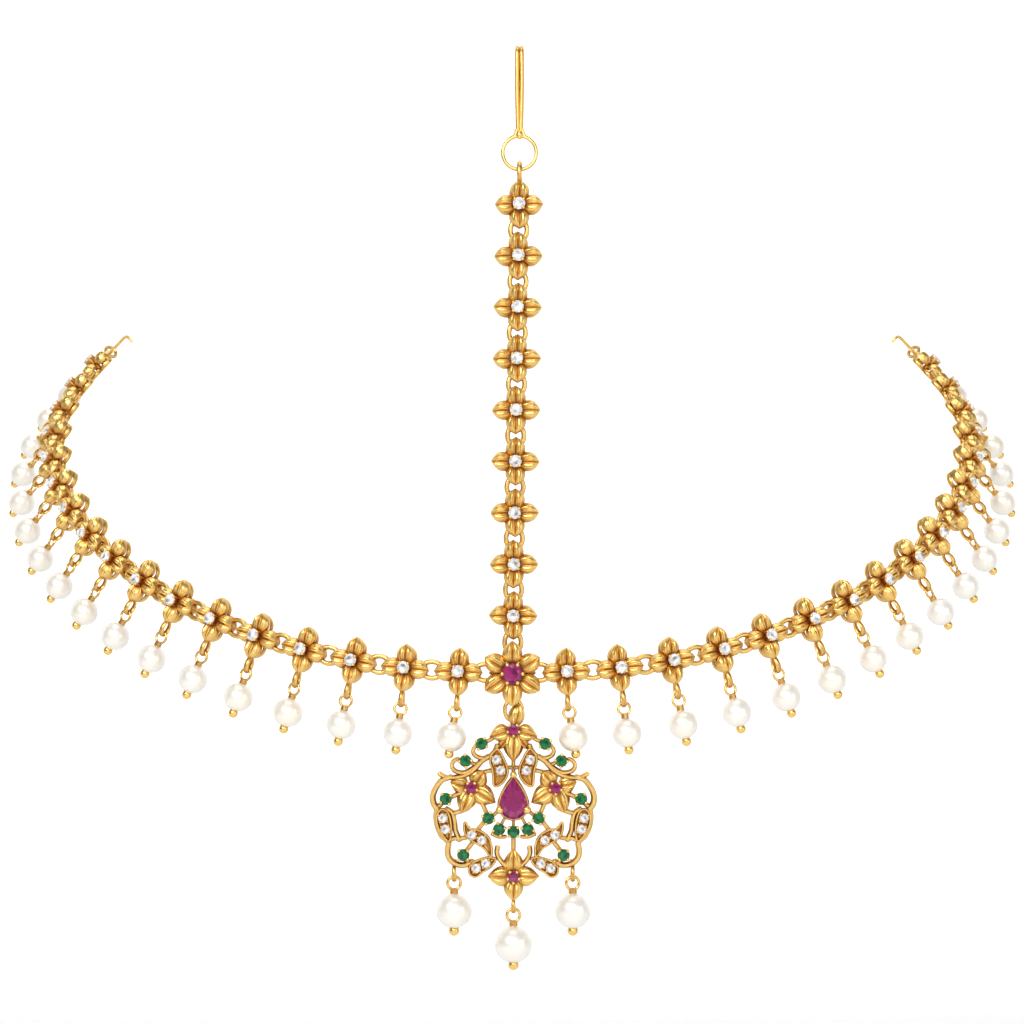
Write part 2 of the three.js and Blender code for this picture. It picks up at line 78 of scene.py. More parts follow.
# Links are cast a little unevenly, in this many kinds that take turns
LINK_CASTS = 3

# A connecting ring's half length and half width, and where the CAD's ring of straight sides ends
RING_SIDES = 10
RING_HALVES = (1.5, 1.16)
RING_TIP = RING_HALVES[0] * math.cos(math.pi / RING_SIDES)
RING_TWIST = 0.12

# How far a wire's cut end stands out, as a share of its radius
TIP_SHARE = 0.45

# The cast loops that carry the drops, and the wire eyes that hang on them
LINK_LOOP = {"half_height": 1.05, "half_depth": 0.72, "wire": 0.27, "centre_y": -4.2}
SIDE_DROP_LOOP = {"half_height": 0.95, "half_depth": 0.6, "wire": 0.24, "centre_y": 0.0}
BOTTOM_DROP_LOOP = {"half_height": 0.85, "half_depth": 0.6, "wire": 0.24, "centre_y": 0.0}
LINK_EYE = {"loop_bottom": -5.05, "eye_radius": 0.86, "eye_wire": 0.19}
PENDANT_EYE = {"loop_bottom": -0.7, "eye_radius": 0.92, "eye_wire": 0.22}

# Heights along local Z of a link's stone and of the centre flower's, with their cups and claws
LINK_STONE_HEIGHTS = {"cup": 1.8, "girdle": 1.86, "claw": 1.98, "table": 2.3, "culet": 1.0}
CENTRE_STONE_HEIGHTS = {"cup": 2.1, "girdle": 2.2, "claw": 2.45, "table": 2.9, "culet": 1.0}

# The first random seed of each kind of piece
SEEDS = {
    "pear": 5,
    "centre_ruby": 7,
    "chain_stone": 10,
    "strand_stone": 40,
    "link_drop": 100,
    "pendant_drop": 200,
    "leaf_stone": 300,
    "emerald": 400,
    "lowest_emerald": 440,
    "side_flower": 500,
    "flower": 520,
}

# A petal's half width, edge height and crest height at shares of its length
PETAL_WIDTH = [(0, 0.36), (0.1, 0.58), (0.22, 0.84), (0.36, 0.98), (0.5, 1), (0.64, 0.93), (0.76, 0.77),
               (0.86, 0.55), (0.94, 0.29), (1, 0.03)]
SHIELD_WIDTH = [(0, 0.42), (0.1, 0.66), (0.22, 0.9), (0.36, 1), (0.5, 0.95), (0.64, 0.8), (0.76, 0.6),
                (0.86, 0.38), (0.94, 0.18), (1, 0.03)]
PETAL_EDGE = [(0, 0.75), (0.2, 0.5), (0.55, 0.34), (0.8, 0.36), (1, 0.5)]
PETAL_CREST = [(0, 0.8), (0.22, 1.15), (0.45, 1.38), (0.65, 1.4), (0.82, 1.18), (0.93, 0.92), (1, 0.64)]
CREASE_WIDTH = 0.17
CREASE_DEPTH = 0.3
RIB_PITCH = 0.26
RIB_HEIGHT = 0.05
RIB_END = 0.93
PETAL_WALL = 0.5
# How much shade is painted on a petal in its crease, between its ribs, near its base and at its edge, and on
# its underside
PETAL_PAINTED_SHADE = {"crease": 0.42, "rib": 0.26, "base": 0.7, "edge": 0.55, "underside": 0.4}
# How much lighter or darker each facet of a stone's table is painted, a painted reflection that leaves one
# side dark and the other bright
TABLE_REFLECTION_TONES = [-0.75, -0.6, -0.25, 0.35, 0.5, 0.4, 0.1, -0.45]

# The pendant, measured from its top flower: X right and Y up, mirrored left and right
EMERALD_PAIRS = [(4.45, -5.2), (6.7, -7.6), (9.45, -12.9), (3.5, -15.6), (2.0, -17.15), (7.0, -20.75)]
PEAR_MIDDLE = -12.8
# Each vine's route and its wire's radius at the start and at the end
SCROLLS = [
    ([(2.2, -5.4), (2.6, -6.3), (3.3, -7.0), (4.3, -7.3), (5.3, -6.95), (5.65, -6.25), (5.3, -5.6)],
     0.42, 0.3),
    ([(3.4, -7.0), (4.6, -7.8), (5.5, -8.6), (6.8, -9.3), (8.0, -9.15), (8.6, -8.5), (8.4, -7.75),
      (7.8, -7.4)], 0.44, 0.3),
    ([(4.4, -7.6), (5.4, -8.75), (6.6, -9.6), (8.0, -9.95), (9.3, -10.0), (10.3, -9.5)], 0.44, 0.34),
    ([(8.6, -9.9), (9.9, -10.3), (10.75, -11.3), (11.25, -12.5), (11.15, -13.6), (10.6, -14.4)], 0.42, 0.5),
    ([(10.6, -14.2), (10.8, -15.4), (10.6, -16.8), (10.0, -18.1), (9.1, -19.0), (9.2, -20.2), (9.0, -21.2),
      (8.2, -22.0), (7.0, -22.25), (5.8, -21.8)], 0.46, 0.44),
    ([(9.5, -14.3), (8.6, -14.9), (8.25, -16.2), (8.1, -17.4), (7.6, -18.6)], 0.38, 0.42),
    ([(9.0, -18.8), (8.2, -18.45), (7.3, -18.5), (6.4, -18.3)], 0.4, 0.34),
    ([(5.0, -17.3), (4.5, -16.7), (4.1, -16.1)], 0.34, 0.34),
    ([(5.4, -18.7), (6.1, -19.6), (6.8, -20.5)], 0.36, 0.34),
    ([(2.2, -19.6), (2.3, -20.6), (1.8, -21.6), (1.0, -22.4)], 0.4, 0.36),
    ([(1.0, -18.25), (2.0, -18.3), (2.9, -17.9)], 0.3, 0.3),
    ([(6.7, -11.9), (7.8, -12.3), (8.8, -12.8)], 0.38, 0.36),
    ([(9.8, -13.4), (10.2, -13.8), (10.7, -14.1)], 0.36, 0.38),
    ([(6.2, -14.2), (7.1, -14.6), (8.4, -15.0)], 0.38, 0.36),
    ([(4.5, -13.2), (4.1, -14.2), (3.7, -15.1)], 0.36, 0.34),
    ([(2.7, -9.0), (3.4, -9.05), (4.3, -9.3)], 0.32, 0.34),
    ([(6.9, -21.3), (6.3, -21.8), (5.8, -22.3)], 0.38, 0.38),
    ([(2.9, -4.5), (3.4, -4.8), (4.0, -5.0)], 0.32, 0.32),
    ([(5.2, -8.2), (5.7, -8.0), (6.1, -7.8)], 0.3, 0.3),
    ([(1.1, -15.5), (1.4, -16.0), (1.7, -16.6)], 0.24, 0.24),
    ([(2.1, -14.6), (2.5, -15.0), (3.0, -15.4)], 0.3, 0.28),
]
# The vines on the pendant's middle line and one cross bar, with the wire's radius
MIDDLE_VINES = [
    ([(0, -18.2), (0, -19.2), (0, -20.4)], 0.36),
    ([(0, -7.3), (0, -9.3)], 0.3),
    ([(-1.1, -8.6), (1.1, -8.6)], 0.3),
    ([(0, -15.6), (0, -16.7)], 0.24),
]
# Each leaf's outline and the places of its two stones
LEAVES = [
    {"outline": [(2.3, -6.0), (3.1, -6.8), (3.25, -7.7), (2.9, -8.9), (2.8, -10.1), (2.65, -11.1),
                 (1.9, -10.95), (1.25, -10.3), (0.85, -9.4), (0.95, -8.3), (1.4, -7.3), (1.75, -6.6)],
     "stones": [(2.35, -7.45), (1.8, -8.95)]},
    {"outline": [(10.1, -14.4), (10.7, -15.3), (10.6, -16.6), (10.0, -17.8), (9.1, -18.8), (8.75, -18.2),
                 (8.7, -16.8), (8.95, -15.4), (9.4, -14.6)], "stones": [(9.85, -15.6), (9.5, -17.15)]},
    {"outline": [(6.75, -16.2), (6.85, -17.2), (6.4, -18.3), (5.2, -19.1), (4.0, -19.9), (3.2, -21.0),
                 (3.05, -20.0), (3.3, -18.7), (4.0, -17.8), (5.1, -17.25), (6.1, -17.1)],
     "stones": [(5.8, -17.95), (4.4, -18.7)]},
    {"outline": [(2.5, -21.4), (3.2, -22.4), (4.3, -23.1), (5.2, -23.8), (6.0, -23.5), (6.2, -22.6),
                 (5.5, -21.75), (4.2, -21.25), (3.2, -21.1)], "stones": [(5.2, -22.6), (3.85, -21.95)]},
]
# Each petal has a direction in degrees, a reach, a half width and how far it lies behind the others
PENDANT_FLOWERS = [
    {"at": (0, -3.3), "petals": [(196, 3.5, 1.3, 0), (344, 3.5, 1.3, 0), (270, 4.55, 1.5, 0.05),
                                 (233, 3.5, 1.05, 0.4), (307, 3.5, 1.05, 0.4)]},
    {"at": (0, -23.8), "petals": [(0, 3.6, 1.45, 0), (90, 3.9, 1.4, 0), (180, 3.6, 1.45, 0),
                                  (270, 3.5, 1.4, 0)]},
]
SIDE_FLOWER = {"at": (5.9, -11.4), "petals": [(128, 3.1, 1.45, 0), (15, 3.05, 1.35, 0), (-69, 3.85, 1.4, 0),
                                              (212, 4.0, 1.5, 0)]}
# Where the drops' loops and the lowest emerald are, and how the stones are cut
SIDE_LOOP = (8.3, -23.4)
BOTTOM_LOOP = (0.0, -27.9)
LOWEST_EMERALD = (0, -17.5)
EMERALD = {"radius": 0.88, "girdle": 1.15, "table": 1.6, "claws": 4}
SMALL_RUBY = {"radius": 0.86, "girdle": 1.1, "table": 1.6, "claws": 5}
# Local Z of a leaf's sunk floor and of its back, and the radius of its stones
LEAF_FACE = 0.62
LEAF_BACK = -0.45
LEAF_STONE = 0.66
# The pear stone's claws: X, Y from its middle and the bead's radius
PEAR_CLAWS = [(0, 3.3, 0.5), (-1.9, -1.6, 0.58), (1.9, -1.6, 0.58)]
# The pear stone's width and height, the corners of its round end and the height of its table
PEAR_SIZE = (3.95, 5.85)
PEAR_CORNERS = 9
PEAR_FACE = 2.08
# The ring that carries the pendant: half its width, half its height and its wire's radius
PENDANT_RING_WIDE = 1.22
PENDANT_RING_TALL = 1.5
PENDANT_RING_WIRE = 0.3

# The radius of the centre flower's ruby, and where its petals start and half how wide they are
CENTRE_RUBY = 1.47
CENTRE_PETAL_START = 1.2
CENTRE_PETAL_HALF_WIDTH = 1.42
# The centre flower's petals: direction in degrees, reach, thickness and the stem's share of the reach. The
# lowest petal is thinner behind, which leaves room for the ring that swings there.
CENTRE_PETALS = [(90, 4.5, 0.95, 0.9), (31, 4.45, 0.95, 0.9), (-32, 4.55, 0.95, 0.9), (-90, 4.6, 0.78, 0.6),
                 (-148, 4.55, 0.95, 0.9), (149, 4.45, 0.95, 0.9)]

# The backdrop in metres, and each light's name, place, size and power
SWEEP = {"half_width": 5.0, "front": -5.0, "floor": -0.2, "wall": 0.75, "bend": 0.35, "top": 3.0}
LIGHTS = [
    ("key_light", (-0.26, -0.46, 0.2), 0.22, 1.6),
    ("front_light", (0.05, -0.66, 0.17), 0.44, 1.95),
    ("fill_light", (0.42, -0.3, -0.02), 0.3, 0.45),
    ("top_light", (0.0, 0.0, 0.42), 0.3, 0.8),
]
LIGHT_TARGET = (0, 0.02, -0.08)
WORLD_STRENGTH = 0.22
CAMERA_PLACE = (-0.00105, -0.34, -0.0655)
CAMERA_LENS = 85.4


class TikkaSizes(bpy.types.PropertyGroup):
    """Sizes of the visible pieces"""

    petal_reach: FloatProperty(name="Petal reach", description="From a link's middle to a petal's tip",
                               default=0.0034, unit="LENGTH")
    petal_half_width: FloatProperty(name="Petal half width", description="Half of a petal's widest place",
                                    default=0.00136, unit="LENGTH")
    petal_back: FloatProperty(name="Back rim depth",
                              description="From a link's middle plane to the middle of its back rim",
                              default=0.00082, unit="LENGTH")
    link_stone: FloatProperty(name="Link stone radius", description="Radius of the clear stone of a link",
                              default=0.00088, unit="LENGTH")
    chain_pitch: FloatProperty(name="Chain pitch", description="From link to link down the parting chain",
                               default=0.007185, unit="LENGTH")
    strand_pitch: FloatProperty(name="Strand pitch", description="From link to link along a side strand",
                                default=0.00754, unit="LENGTH")
    ring_wire: FloatProperty(name="Ring wire", description="Radius of the wire of the connecting rings",
                             default=0.00037, unit="LENGTH")
    pearl: FloatProperty(name="Pearl radius", description="Radius of the strands' pearls",
                         default=0.0021, unit="LENGTH")
    side_pearl: FloatProperty(name="Pendant side pearl",
                              description="Radius of the pendant's two side pearls",
                              default=0.0025, unit="LENGTH")
    bottom_pearl: FloatProperty(name="Pendant bottom pearl",
                                description="Radius of the pendant's lowest pearl",
                                default=0.00265, unit="LENGTH")
    chain_links: IntProperty(name="Chain links", description="Flower links of the parting chain", default=9)
    strand_links: IntProperty(name="Strand links", description="Flower links of each side strand",
                              default=17)


class TikkaColours(bpy.types.PropertyGroup):
    """Colours of the metals, pearls, stones and stage"""

    gold: FloatVectorProperty(name="Gold", description="Polished high places of the gold", subtype="COLOR",
                              size=3, min=0, max=1, default=(0.9, 0.61, 0.2))
    # Painted shade: the colour that the gold is darkened towards in creases, recesses, undersides and at
    # edges
    gold_painted_shade: FloatVectorProperty(name="Gold recess", description="Darkened low places of the gold",
                                     subtype="COLOR", size=3, min=0, max=1, default=(0.42, 0.17, 0.03))
    pearl: FloatVectorProperty(name="Pearl", description="Cream body of the pearls", subtype="COLOR",
                               size=3, min=0, max=1, default=(0.87, 0.85, 0.77))
    ruby: FloatVectorProperty(name="Ruby", description="Body of the red stones", subtype="COLOR",
                              size=3, min=0, max=1, default=(0.2, 0.003, 0.08))
    emerald: FloatVectorProperty(name="Emerald", description="Body of the green stones", subtype="COLOR",
                                 size=3, min=0, max=1, default=(0.003, 0.115, 0.036))
    clear: FloatVectorProperty(name="Clear stone", description="Body of the clear stones", subtype="COLOR",
                               size=3, min=0, max=1, default=(0.92, 0.91, 0.97))
    stage: FloatVectorProperty(name="Stage", description="Floor and backdrop", subtype="COLOR",
                               size=3, min=0, max=1, default=(0.84, 0.84, 0.84))


def sizes():
    return bpy.context.scene.tikka_sizes


def colours():
    return bpy.context.scene.tikka_colours


class Form:
    """Points, faces, a painted shade for each point and a tone for each face, in millimetres. On a pearl a
    face's tone is its tint, on a stone it is the facet's painted reflection.
    """

    def __init__(self):
        self.points = []
        self.faces = []
        self.painted_shade = []
        self.tones = []
        self.count = 0

    def add(self, points, faces, painted_shade=0.0, tone=0.5):
        points = np.asarray(points, float)
        start = self.count
        self.points.append(points)
        self.faces += [tuple(start + i for i in face) for face in faces]
        self.painted_shade.append(np.broadcast_to(np.asarray(painted_shade, float), (len(points),)))
        self.tones += list(np.broadcast_to(np.asarray(tone, float), (len(faces),)))
        self.count += len(points)
        return self

    def stamp(self, other, *matrices):
        points = np.vstack(other.points)
        for matrix in matrices:
            points = moved(points, matrix)
        return self.add(points, other.faces, np.concatenate(other.painted_shade), other.tones)


def moved(points, matrix):
    return points @ matrix[:3, :3].T + matrix[:3, 3]


def shift(x=0.0, y=0.0, z=0.0):
    matrix = np.eye(4)
    matrix[:3, 3] = (x, y, z)
    return matrix


def turn(angle, axis="z"):
    c, s = math.cos(angle), math.sin(angle)
    a, b = {"x": (1, 2), "y": (2, 0), "z": (0, 1)}[axis]
    matrix = np.eye(4)
    matrix[a, a] = matrix[b, b] = c
    matrix[a, b] = -s
    matrix[b, a] = s
    return matrix


def mirror():
    return np.diag([-1.0, 1.0, 1.0, 1.0])


def place_at(position, right, up):
    matrix = np.eye(4)
    matrix[:3, 0] = right
    matrix[:3, 1] = up
    matrix[:3, 2] = np.cross(right, up)
    matrix[:3, 3] = position
    return matrix


def facing_front(x, z):
    return place_at((x, 0, z), X_AXIS, Z_AXIS)


def unit(vector):
    return vector / np.linalg.norm(vector)


def at_share(table, share):
    return np.interp(share, [row[0] for row in table], [row[1] for row in table])


def smooth_at(before, start, end, after, t):
    """The value at share t between start and end, on a smooth curve through all four."""
    v0, v1 = (end - before) / 2, (after - start) / 2
    cube = 2 * start - 2 * end + v0 + v1
    square = -3 * start + 3 * end - 2 * v0 - v1
    return cube * t**3 + square * t**2 + v0 * t + start


def round_angles(steps):
    return 2 * np.pi * np.arange(steps) / steps


def cross_loop(half_y, half_z, centre_y=0.0, steps=20):
    """A closed round path whose hole looks along local X."""
    angles = round_angles(steps)
    return np.column_stack([np.zeros(steps), centre_y + half_y * np.cos(angles), half_z * np.sin(angles)])


def smooth_path(points, per_span, closed=False):
    """A smooth line through the points."""
    points = np.asarray(points, float)
    if points.shape[1] == 2:
        points = np.column_stack([points, np.zeros(len(points))])
    count = len(points)
    spans = count if closed else count - 1
    line = []
    for i in range(spans):
        if closed:
            a, b, c, d = (points[(i + k) % count] for k in (-1, 0, 1, 2))
        else:
            a, b, c, d = (points[min(max(i + k, 0), count - 1)] for k in (-1, 0, 1, 2))
        line += [smooth_at(a, b, c, d, t) for t in np.arange(per_span) / per_span]
    if not closed:
        line.append(points[-1])
    return np.array(line)


def tube(form, path, radius, sides=8, closed=False, up=Z_AXIS, flat=1.0, painted_shade=0.0, flank_shade=0.85):
    """A wire along a path, flat times as tall along up as it is wide, with painted shade that is darker on
    its flanks.
    """
    path = np.asarray(path, float)
    count = len(path)
    radii = np.broadcast_to(np.asarray(radius, float), (count,))
    angles = 2 * np.pi * (np.arange(sides) + 0.5) / sides
    points = []
    for i in range(count):
        if closed:
            along = path[(i + 1) % count] - path[i - 1]
        else:
            along = path[min(i + 1, count - 1)] - path[max(i - 1, 0)]
        side = unit(np.cross(along, up))
        top = unit(np.cross(side, along))
        for angle in angles:
            points.append(path[i] + radii[i] * (side * math.cos(angle) + top * flat * math.sin(angle)))
    faces = []
    for i in range(count if closed else count - 1):
        ahead = (i + 1) % count
        for k in range(sides):
            beside = (k + 1) % sides
            faces.append((i * sides + k, i * sides + beside, ahead * sides + beside, ahead * sides + k))
    if not closed:
        for end, direction in ((0, path[0] - path[1]), (count - 1, path[-1] - path[-2])):
            tip = path[end] + unit(direction) * radii[end] * TIP_SHARE
            points.append(tip)
            middle = len(points) - 1
            faces += [(end * sides + k, end * sides + (k + 1) % sides, middle) for k in range(sides)]
    # Painted shade: darker flanks give each wire a dark outline
    shades = list(painted_shade + flank_shade * (1 - np.abs(np.sin(angles)))) * count
    shades += [painted_shade] * (len(points) - count * sides)
    return form.add(points, faces, np.minimum(shades, 1))


def lathe(form, profile, sides, matrix=None, painted_shade=0.0, tone=0.5):
    """A round solid about local Z from (radius, height) stations."""
    points = []
    starts = []
    for radius, height in profile:
        starts.append(len(points))
        if radius == 0:
            points.append((0, 0, height))
            continue
        for k in range(sides):
            angle = 2 * math.pi * k / sides
            points.append((radius * math.cos(angle), radius * math.sin(angle), height))
    faces = []
    for row in range(len(profile) - 1):
        low, high = starts[row], starts[row + 1]
        for k in range(sides):
            beside = (k + 1) % sides
            if profile[row][0] == 0:
                faces.append((low, high + k, high + beside))
            elif profile[row + 1][0] == 0:
                faces.append((low + k, high, low + beside))
            else:
                faces.append((low + k, high + k, high + beside, low + beside))
    points = np.array(points)
    if matrix is not None:
        points = moved(points, matrix)
    return form.add(points, faces, painted_shade, tone)


def ball(form, centre, radius, sides=12, rings=7, tone=0.5, squash=1.0):
    angles = np.linspace(0, np.pi, rings + 1)
    profile = [(radius * math.sin(a), -radius * squash * math.cos(a)) for a in angles]
    profile[0] = (0, profile[0][1])
    profile[-1] = (0, profile[-1][1])
    return lathe(form, profile, sides, shift(*centre), tone=tone)


def petal(reach, half_width, start, height=1.0, base=0.0, widths=PETAL_WIDTH, rows=14, columns=28):
    """A plump pointed petal along local X, with a fine centre crease and fanning ribs, and painted shade in
    its crease, between its ribs, near its base, at its edge and underneath.
    """
    form = Form()
    shares = 1 - (1 - np.linspace(0, 1, rows)) ** 1.15
    across = np.linspace(-1, 1, columns + 1)
    tops, bottoms, painted_shades = [], [], []
    for share in shares:
        x = start + share * (reach - start)
        half = half_width * at_share(widths, share)
        edge = at_share(PETAL_EDGE, share)
        crest = at_share(PETAL_CREST, share)
        fade = math.sin(math.pi * min(1.0, 0.12 + share * 0.88)) ** 0.5
        for v in across:
            size = abs(v)
            crease = max(0.0, 1 - size / CREASE_WIDTH)
            ribbed = fade if CREASE_WIDTH < size < RIB_END else 0.0
            rib = ribbed * math.cos(2 * math.pi * (size - CREASE_WIDTH) / RIB_PITCH)
            z = edge + (crest - edge) * (1 - size**3 - CREASE_DEPTH * crease * fade) + RIB_HEIGHT * rib
            tops.append((x, v * half, base + height * z))
            bottoms.append((x, v * half * 0.95, base + height * (z - PETAL_WALL - 0.1 * (1 - size**2))))
            # Painted shade in the crease, between the ribs, near the base and at the edge
            shade = PETAL_PAINTED_SHADE["crease"] * crease * fade + PETAL_PAINTED_SHADE["rib"] * max(0.0, -rib)
            shade += PETAL_PAINTED_SHADE["base"] * max(0, 1 - share / 0.3)
            painted_shades.append(min(1.0, shade + PETAL_PAINTED_SHADE["edge"] * max(0, size - 0.86) / 0.14))
    width = columns + 1
    count = len(tops)
    faces = []
    for i in range(rows - 1):
        for k in range(columns):
            a, b = i * width + k, (i + 1) * width + k
            c, d = b + 1, a + 1
            faces.append((a, b, c, d))
            faces.append((count + d, count + c, count + b, count + a))
    rim = list(range(width))
    rim += [i * width + columns for i in range(1, rows)]
    rim += [(rows - 1) * width + k for k in range(columns - 1, -1, -1)]
    rim += [i * width for i in range(rows - 2, 0, -1)]
    for here, ahead in zip(rim, rim[1:] + rim[:1]):
        faces.append((here, ahead, count + ahead, count + here))
    return form.add(tops + bottoms, faces, painted_shades + [PETAL_PAINTED_SHADE["underside"]] * count)


def petal_outline(reach, half_width, start, from_share):
    """Half of a petal's outline, from near its base to its tip."""
    shares = [share for share, _ in PETAL_WIDTH if share >= from_share]
    return [(start + share * (reach - start), half_width * at_share(PETAL_WIDTH, share)) for share in shares]


def brilliant(radius, girdle, table, culet, seed, contrast=1.0, level=0.5):
    """A round stone with a table, eight star, eight kite and sixteen girdle facets over a pointed back.

    Level is the middle of its facets' tones, and contrast is how far they spread. The tones are painted
    reflections, with a fixed dark side on the table.
    """
    draw = np.random.default_rng(seed)
    table_radius, kite_radius, band = 0.56 * radius, 0.8 * radius, 0.07 * radius
    points = []
    for i in range(8):
        angle = i * math.pi / 4
        points.append((table_radius * math.cos(angle), table_radius * math.sin(angle), table))
    for i in range(8):
        angle = (i + 0.5) * math.pi / 4
        rise = girdle + 0.58 * (table - girdle)
        points.append((kite_radius * math.cos(angle), kite_radius * math.sin(angle), rise))
    for height in (girdle, girdle - band):
        for j in range(16):
            angle = j * math.pi / 8
            points.append((radius * math.cos(angle), radius * math.sin(angle), height))
    points += [(0, 0, table), (0, 0, culet)]
    kites, upper, lower, table_middle, back_tip = 8, 16, 32, 48, 49
    faces, tones = [], []
    for i in range(8):
        ahead = (i + 1) % 8
        corner = upper + 2 * i
        faces.append((i, ahead, table_middle))
        tones.append(level + contrast * TABLE_REFLECTION_TONES[i] * draw.uniform(0.6, 1))
        faces.append((i, kites + i, ahead))
        tones.append(level + contrast * draw.uniform(-0.25, 0.45))
        faces.append((i, kites + (i + 7) % 8, corner, kites + i))
        tones.append(level + contrast * draw.uniform(-0.2, 0.45))
        faces.append((kites + i, corner, corner + 1))
        faces.append((kites + i, corner + 1, upper + 2 * ahead))
        tones += list(level + contrast * draw.uniform(-0.4, 0.5, 2))
    for j in range(16):
        ahead = (j + 1) % 16
        faces.append((upper + j, lower + j, lower + ahead, upper + ahead))
        faces.append((lower + j, back_tip, lower + ahead))
        tones += [level, level - 0.1]
    return Form().add(points, faces, 0.0, tones)


def claw(form, angle, foot, head, radius=0.17, bead=0.24):
    """A prong from foot (distance out, height) to head, ending in a rounded bead."""
    direction = np.array([math.cos(angle), math.sin(angle), 0])
    low = direction * foot[0] + Z_AXIS * foot[1]
    high = direction * head[0] + Z_AXIS * head[1]
    side = np.array([-math.sin(angle), math.cos(angle), 0])
    # A little painted shade on the prong
    tube(form, [low, (low + high) / 2, high], radius, 6, up=side, painted_shade=0.15)
    ball(form, high, bead, 8, 5, squash=0.8)


def stone_cup(form, radius, back, rim, painted_shade=0.55):
    """The tapered cup under a round stone, with painted shade over it."""
    profile = [(0, back), (radius * 0.62, back), (radius * 0.7, back + (rim - back) * 0.5),
               (radius * 0.98, rim - 0.1), (radius * 0.98, rim), (radius * 0.8, rim),
               (radius * 0.62, rim - 0.35), (0, rim - 0.5)]
    return lathe(form, profile, 14, painted_shade=painted_shade)


def link_flower(seed):
    """One flower link in gold: four hooded petals, the open gallery and back rim, cup and prongs."""
    size = sizes()
    draw = np.random.default_rng(seed)
    reach, half, back = size.petal_reach / MM, size.petal_half_width / MM, -size.petal_back / MM
    stone = size.link_stone / MM
    form = Form()
    edge = petal_outline(reach, half, 0.5, 0.22)
    rim = []
    for i in range(4):
        spin = turn(i * math.pi / 2)
        sway = turn(draw.uniform(-0.035, 0.035))
        cast = petal(reach, half * draw.uniform(0.97, 1.03), 0.5, height=draw.uniform(0.95, 1.05))
        form.stamp(cast, sway, spin)
        outline = [(x * 0.9, -w * 0.88) for x, w in edge] + [(x * 0.9, w * 0.88) for x, w in edge[-2::-1]]
        rim += list(moved(np.array([(x, y, back) for x, y in outline]), spin))
        # Painted shade on the petal tips' walls, the posts and the gallery bars behind, and a little on the
        # back rim
        tip = [(reach * 0.84, 0, 0.3), (reach * 0.86, 0, -0.3), (reach * 0.82, 0, back)]
        across = moved(np.array([Y_AXIS]), spin)[0]
        tube(form, moved(np.array(tip), spin), 0.42, up=across, painted_shade=0.5, flank_shade=0.2)
        corner = math.pi / 4 + i * math.pi / 2
        out = np.array([math.cos(corner), math.sin(corner), 0])
        side = np.array([-math.sin(corner), math.cos(corner), 0])
        post = [out * 1.16 + Z_AXIS * 0.3, out * 1.2 - Z_AXIS * 0.3, out * 1.16 + Z_AXIS * back]
        tube(form, post, 0.42, up=side, painted_shade=0.65, flank_shade=0.2)
        tube(form, [out * 1.2 + Z_AXIS * back, out * 0.4 + Z_AXIS * back], 0.24, 6, painted_shade=0.7)
        claw(form, corner, (0.85, 0.7), (stone * 0.93, LINK_STONE_HEIGHTS["claw"]))
    tube(form, np.array(rim), 0.22, closed=True, flat=1.85, painted_shade=0.2, flank_shade=0.3)
    stone_cup(form, stone, back, LINK_STONE_HEIGHTS["cup"])
    return form


def link_stone(seed):
    heights = LINK_STONE_HEIGHTS
    return brilliant(sizes().link_stone / MM, heights["girdle"], heights["table"], heights["culet"], seed,
                     contrast=0.95, level=0.6)


def oval_ring(form, half_length, half_width, wire, matrices=(), twist=0.0, steps=28):
    """A round or long ring; twist lifts one side of its joint over the other."""
    angles = round_angles(steps)
    path = np.column_stack([half_length * np.cos(angles), half_width * np.sin(angles),
                            twist * np.sin(angles / 2)])
    for matrix in matrices:
        path = moved(path, matrix)
    up = Z_AXIS
    for matrix in matrices:
        up = matrix[:3, :3] @ up
    return tube(form, path, wire, 10, closed=True, up=up)


def connecting_ring(form, *matrices, twist=0.0):
    return oval_ring(form, *RING_HALVES, sizes().ring_wire / MM, matrices, twist)


def cast_loop(half_height, half_depth, wire, centre_y):
    """A leaf-shaped loop under a petal, its hole looking along local X."""
    path = cross_loop(half_height, half_depth, centre_y)
    radii = wire * (1.05 + 0.2 * np.cos(round_angles(len(path)) + math.pi))
    # A little painted shade on the loop
    return tube(Form(), path, radii, closed=True, up=X_AXIS, flat=1.25, painted_shade=0.1)


def drop_metal(loop_bottom, eye_radius, eye_wire, seed):
    """The wire eye and wrapped neck of a drop that hangs on a loop, and the height of its pearl's top."""
    draw = np.random.default_rng(seed)
    form = Form()
    eye_y = loop_bottom - eye_radius + eye_wire
    eye_turn = turn(draw.uniform(-0.2, 0.2), "y")
    oval_ring(form, eye_radius, eye_radius, eye_wire, (eye_turn, shift(0, eye_y)), steps=20)
    neck = eye_y - eye_radius
    turns, per_turn = 2.6, 12
    steps = int(turns * per_turn)
    share = np.arange(steps + 1) / steps
    angles = 2 * np.pi * turns * share
    wide = 0.34 + 0.06 * share
    path = np.column_stack([wide * np.cos(angles), neck + 0.05 - 0.52 * share, wide * np.sin(angles)])
    # A little painted shade on the wrapped neck
    tube(form, path, eye_wire * 1.05, 6, up=Y_AXIS, painted_shade=0.2)
    core = [(0, 0), (0.3, 0), (0.3, 0.75), (0, 0.75)]
    lathe(form, core, 8, turn(math.pi / 2, "x") @ shift(0, 0, -neck - 0.1))
    return form, neck - 0.42


def pearl_body(radius, top, seed):
    """A slightly uneven pearl whose top lies at a height along local Y."""
    draw = np.random.default_rng(seed)
    form = Form()
    ball(form, (0, 0, 0), radius, 36, 18, tone=draw.uniform(0.2, 0.8))
    scale = np.diag([*(1 + draw.uniform(-0.018, 0.018, 3)), 1.0])
    tilt = turn(draw.uniform(0, 3), "x") @ turn(draw.uniform(0, 3), "y")
    made = Form()
    made.stamp(form, tilt @ scale, shift(0, top - radius))
    return made


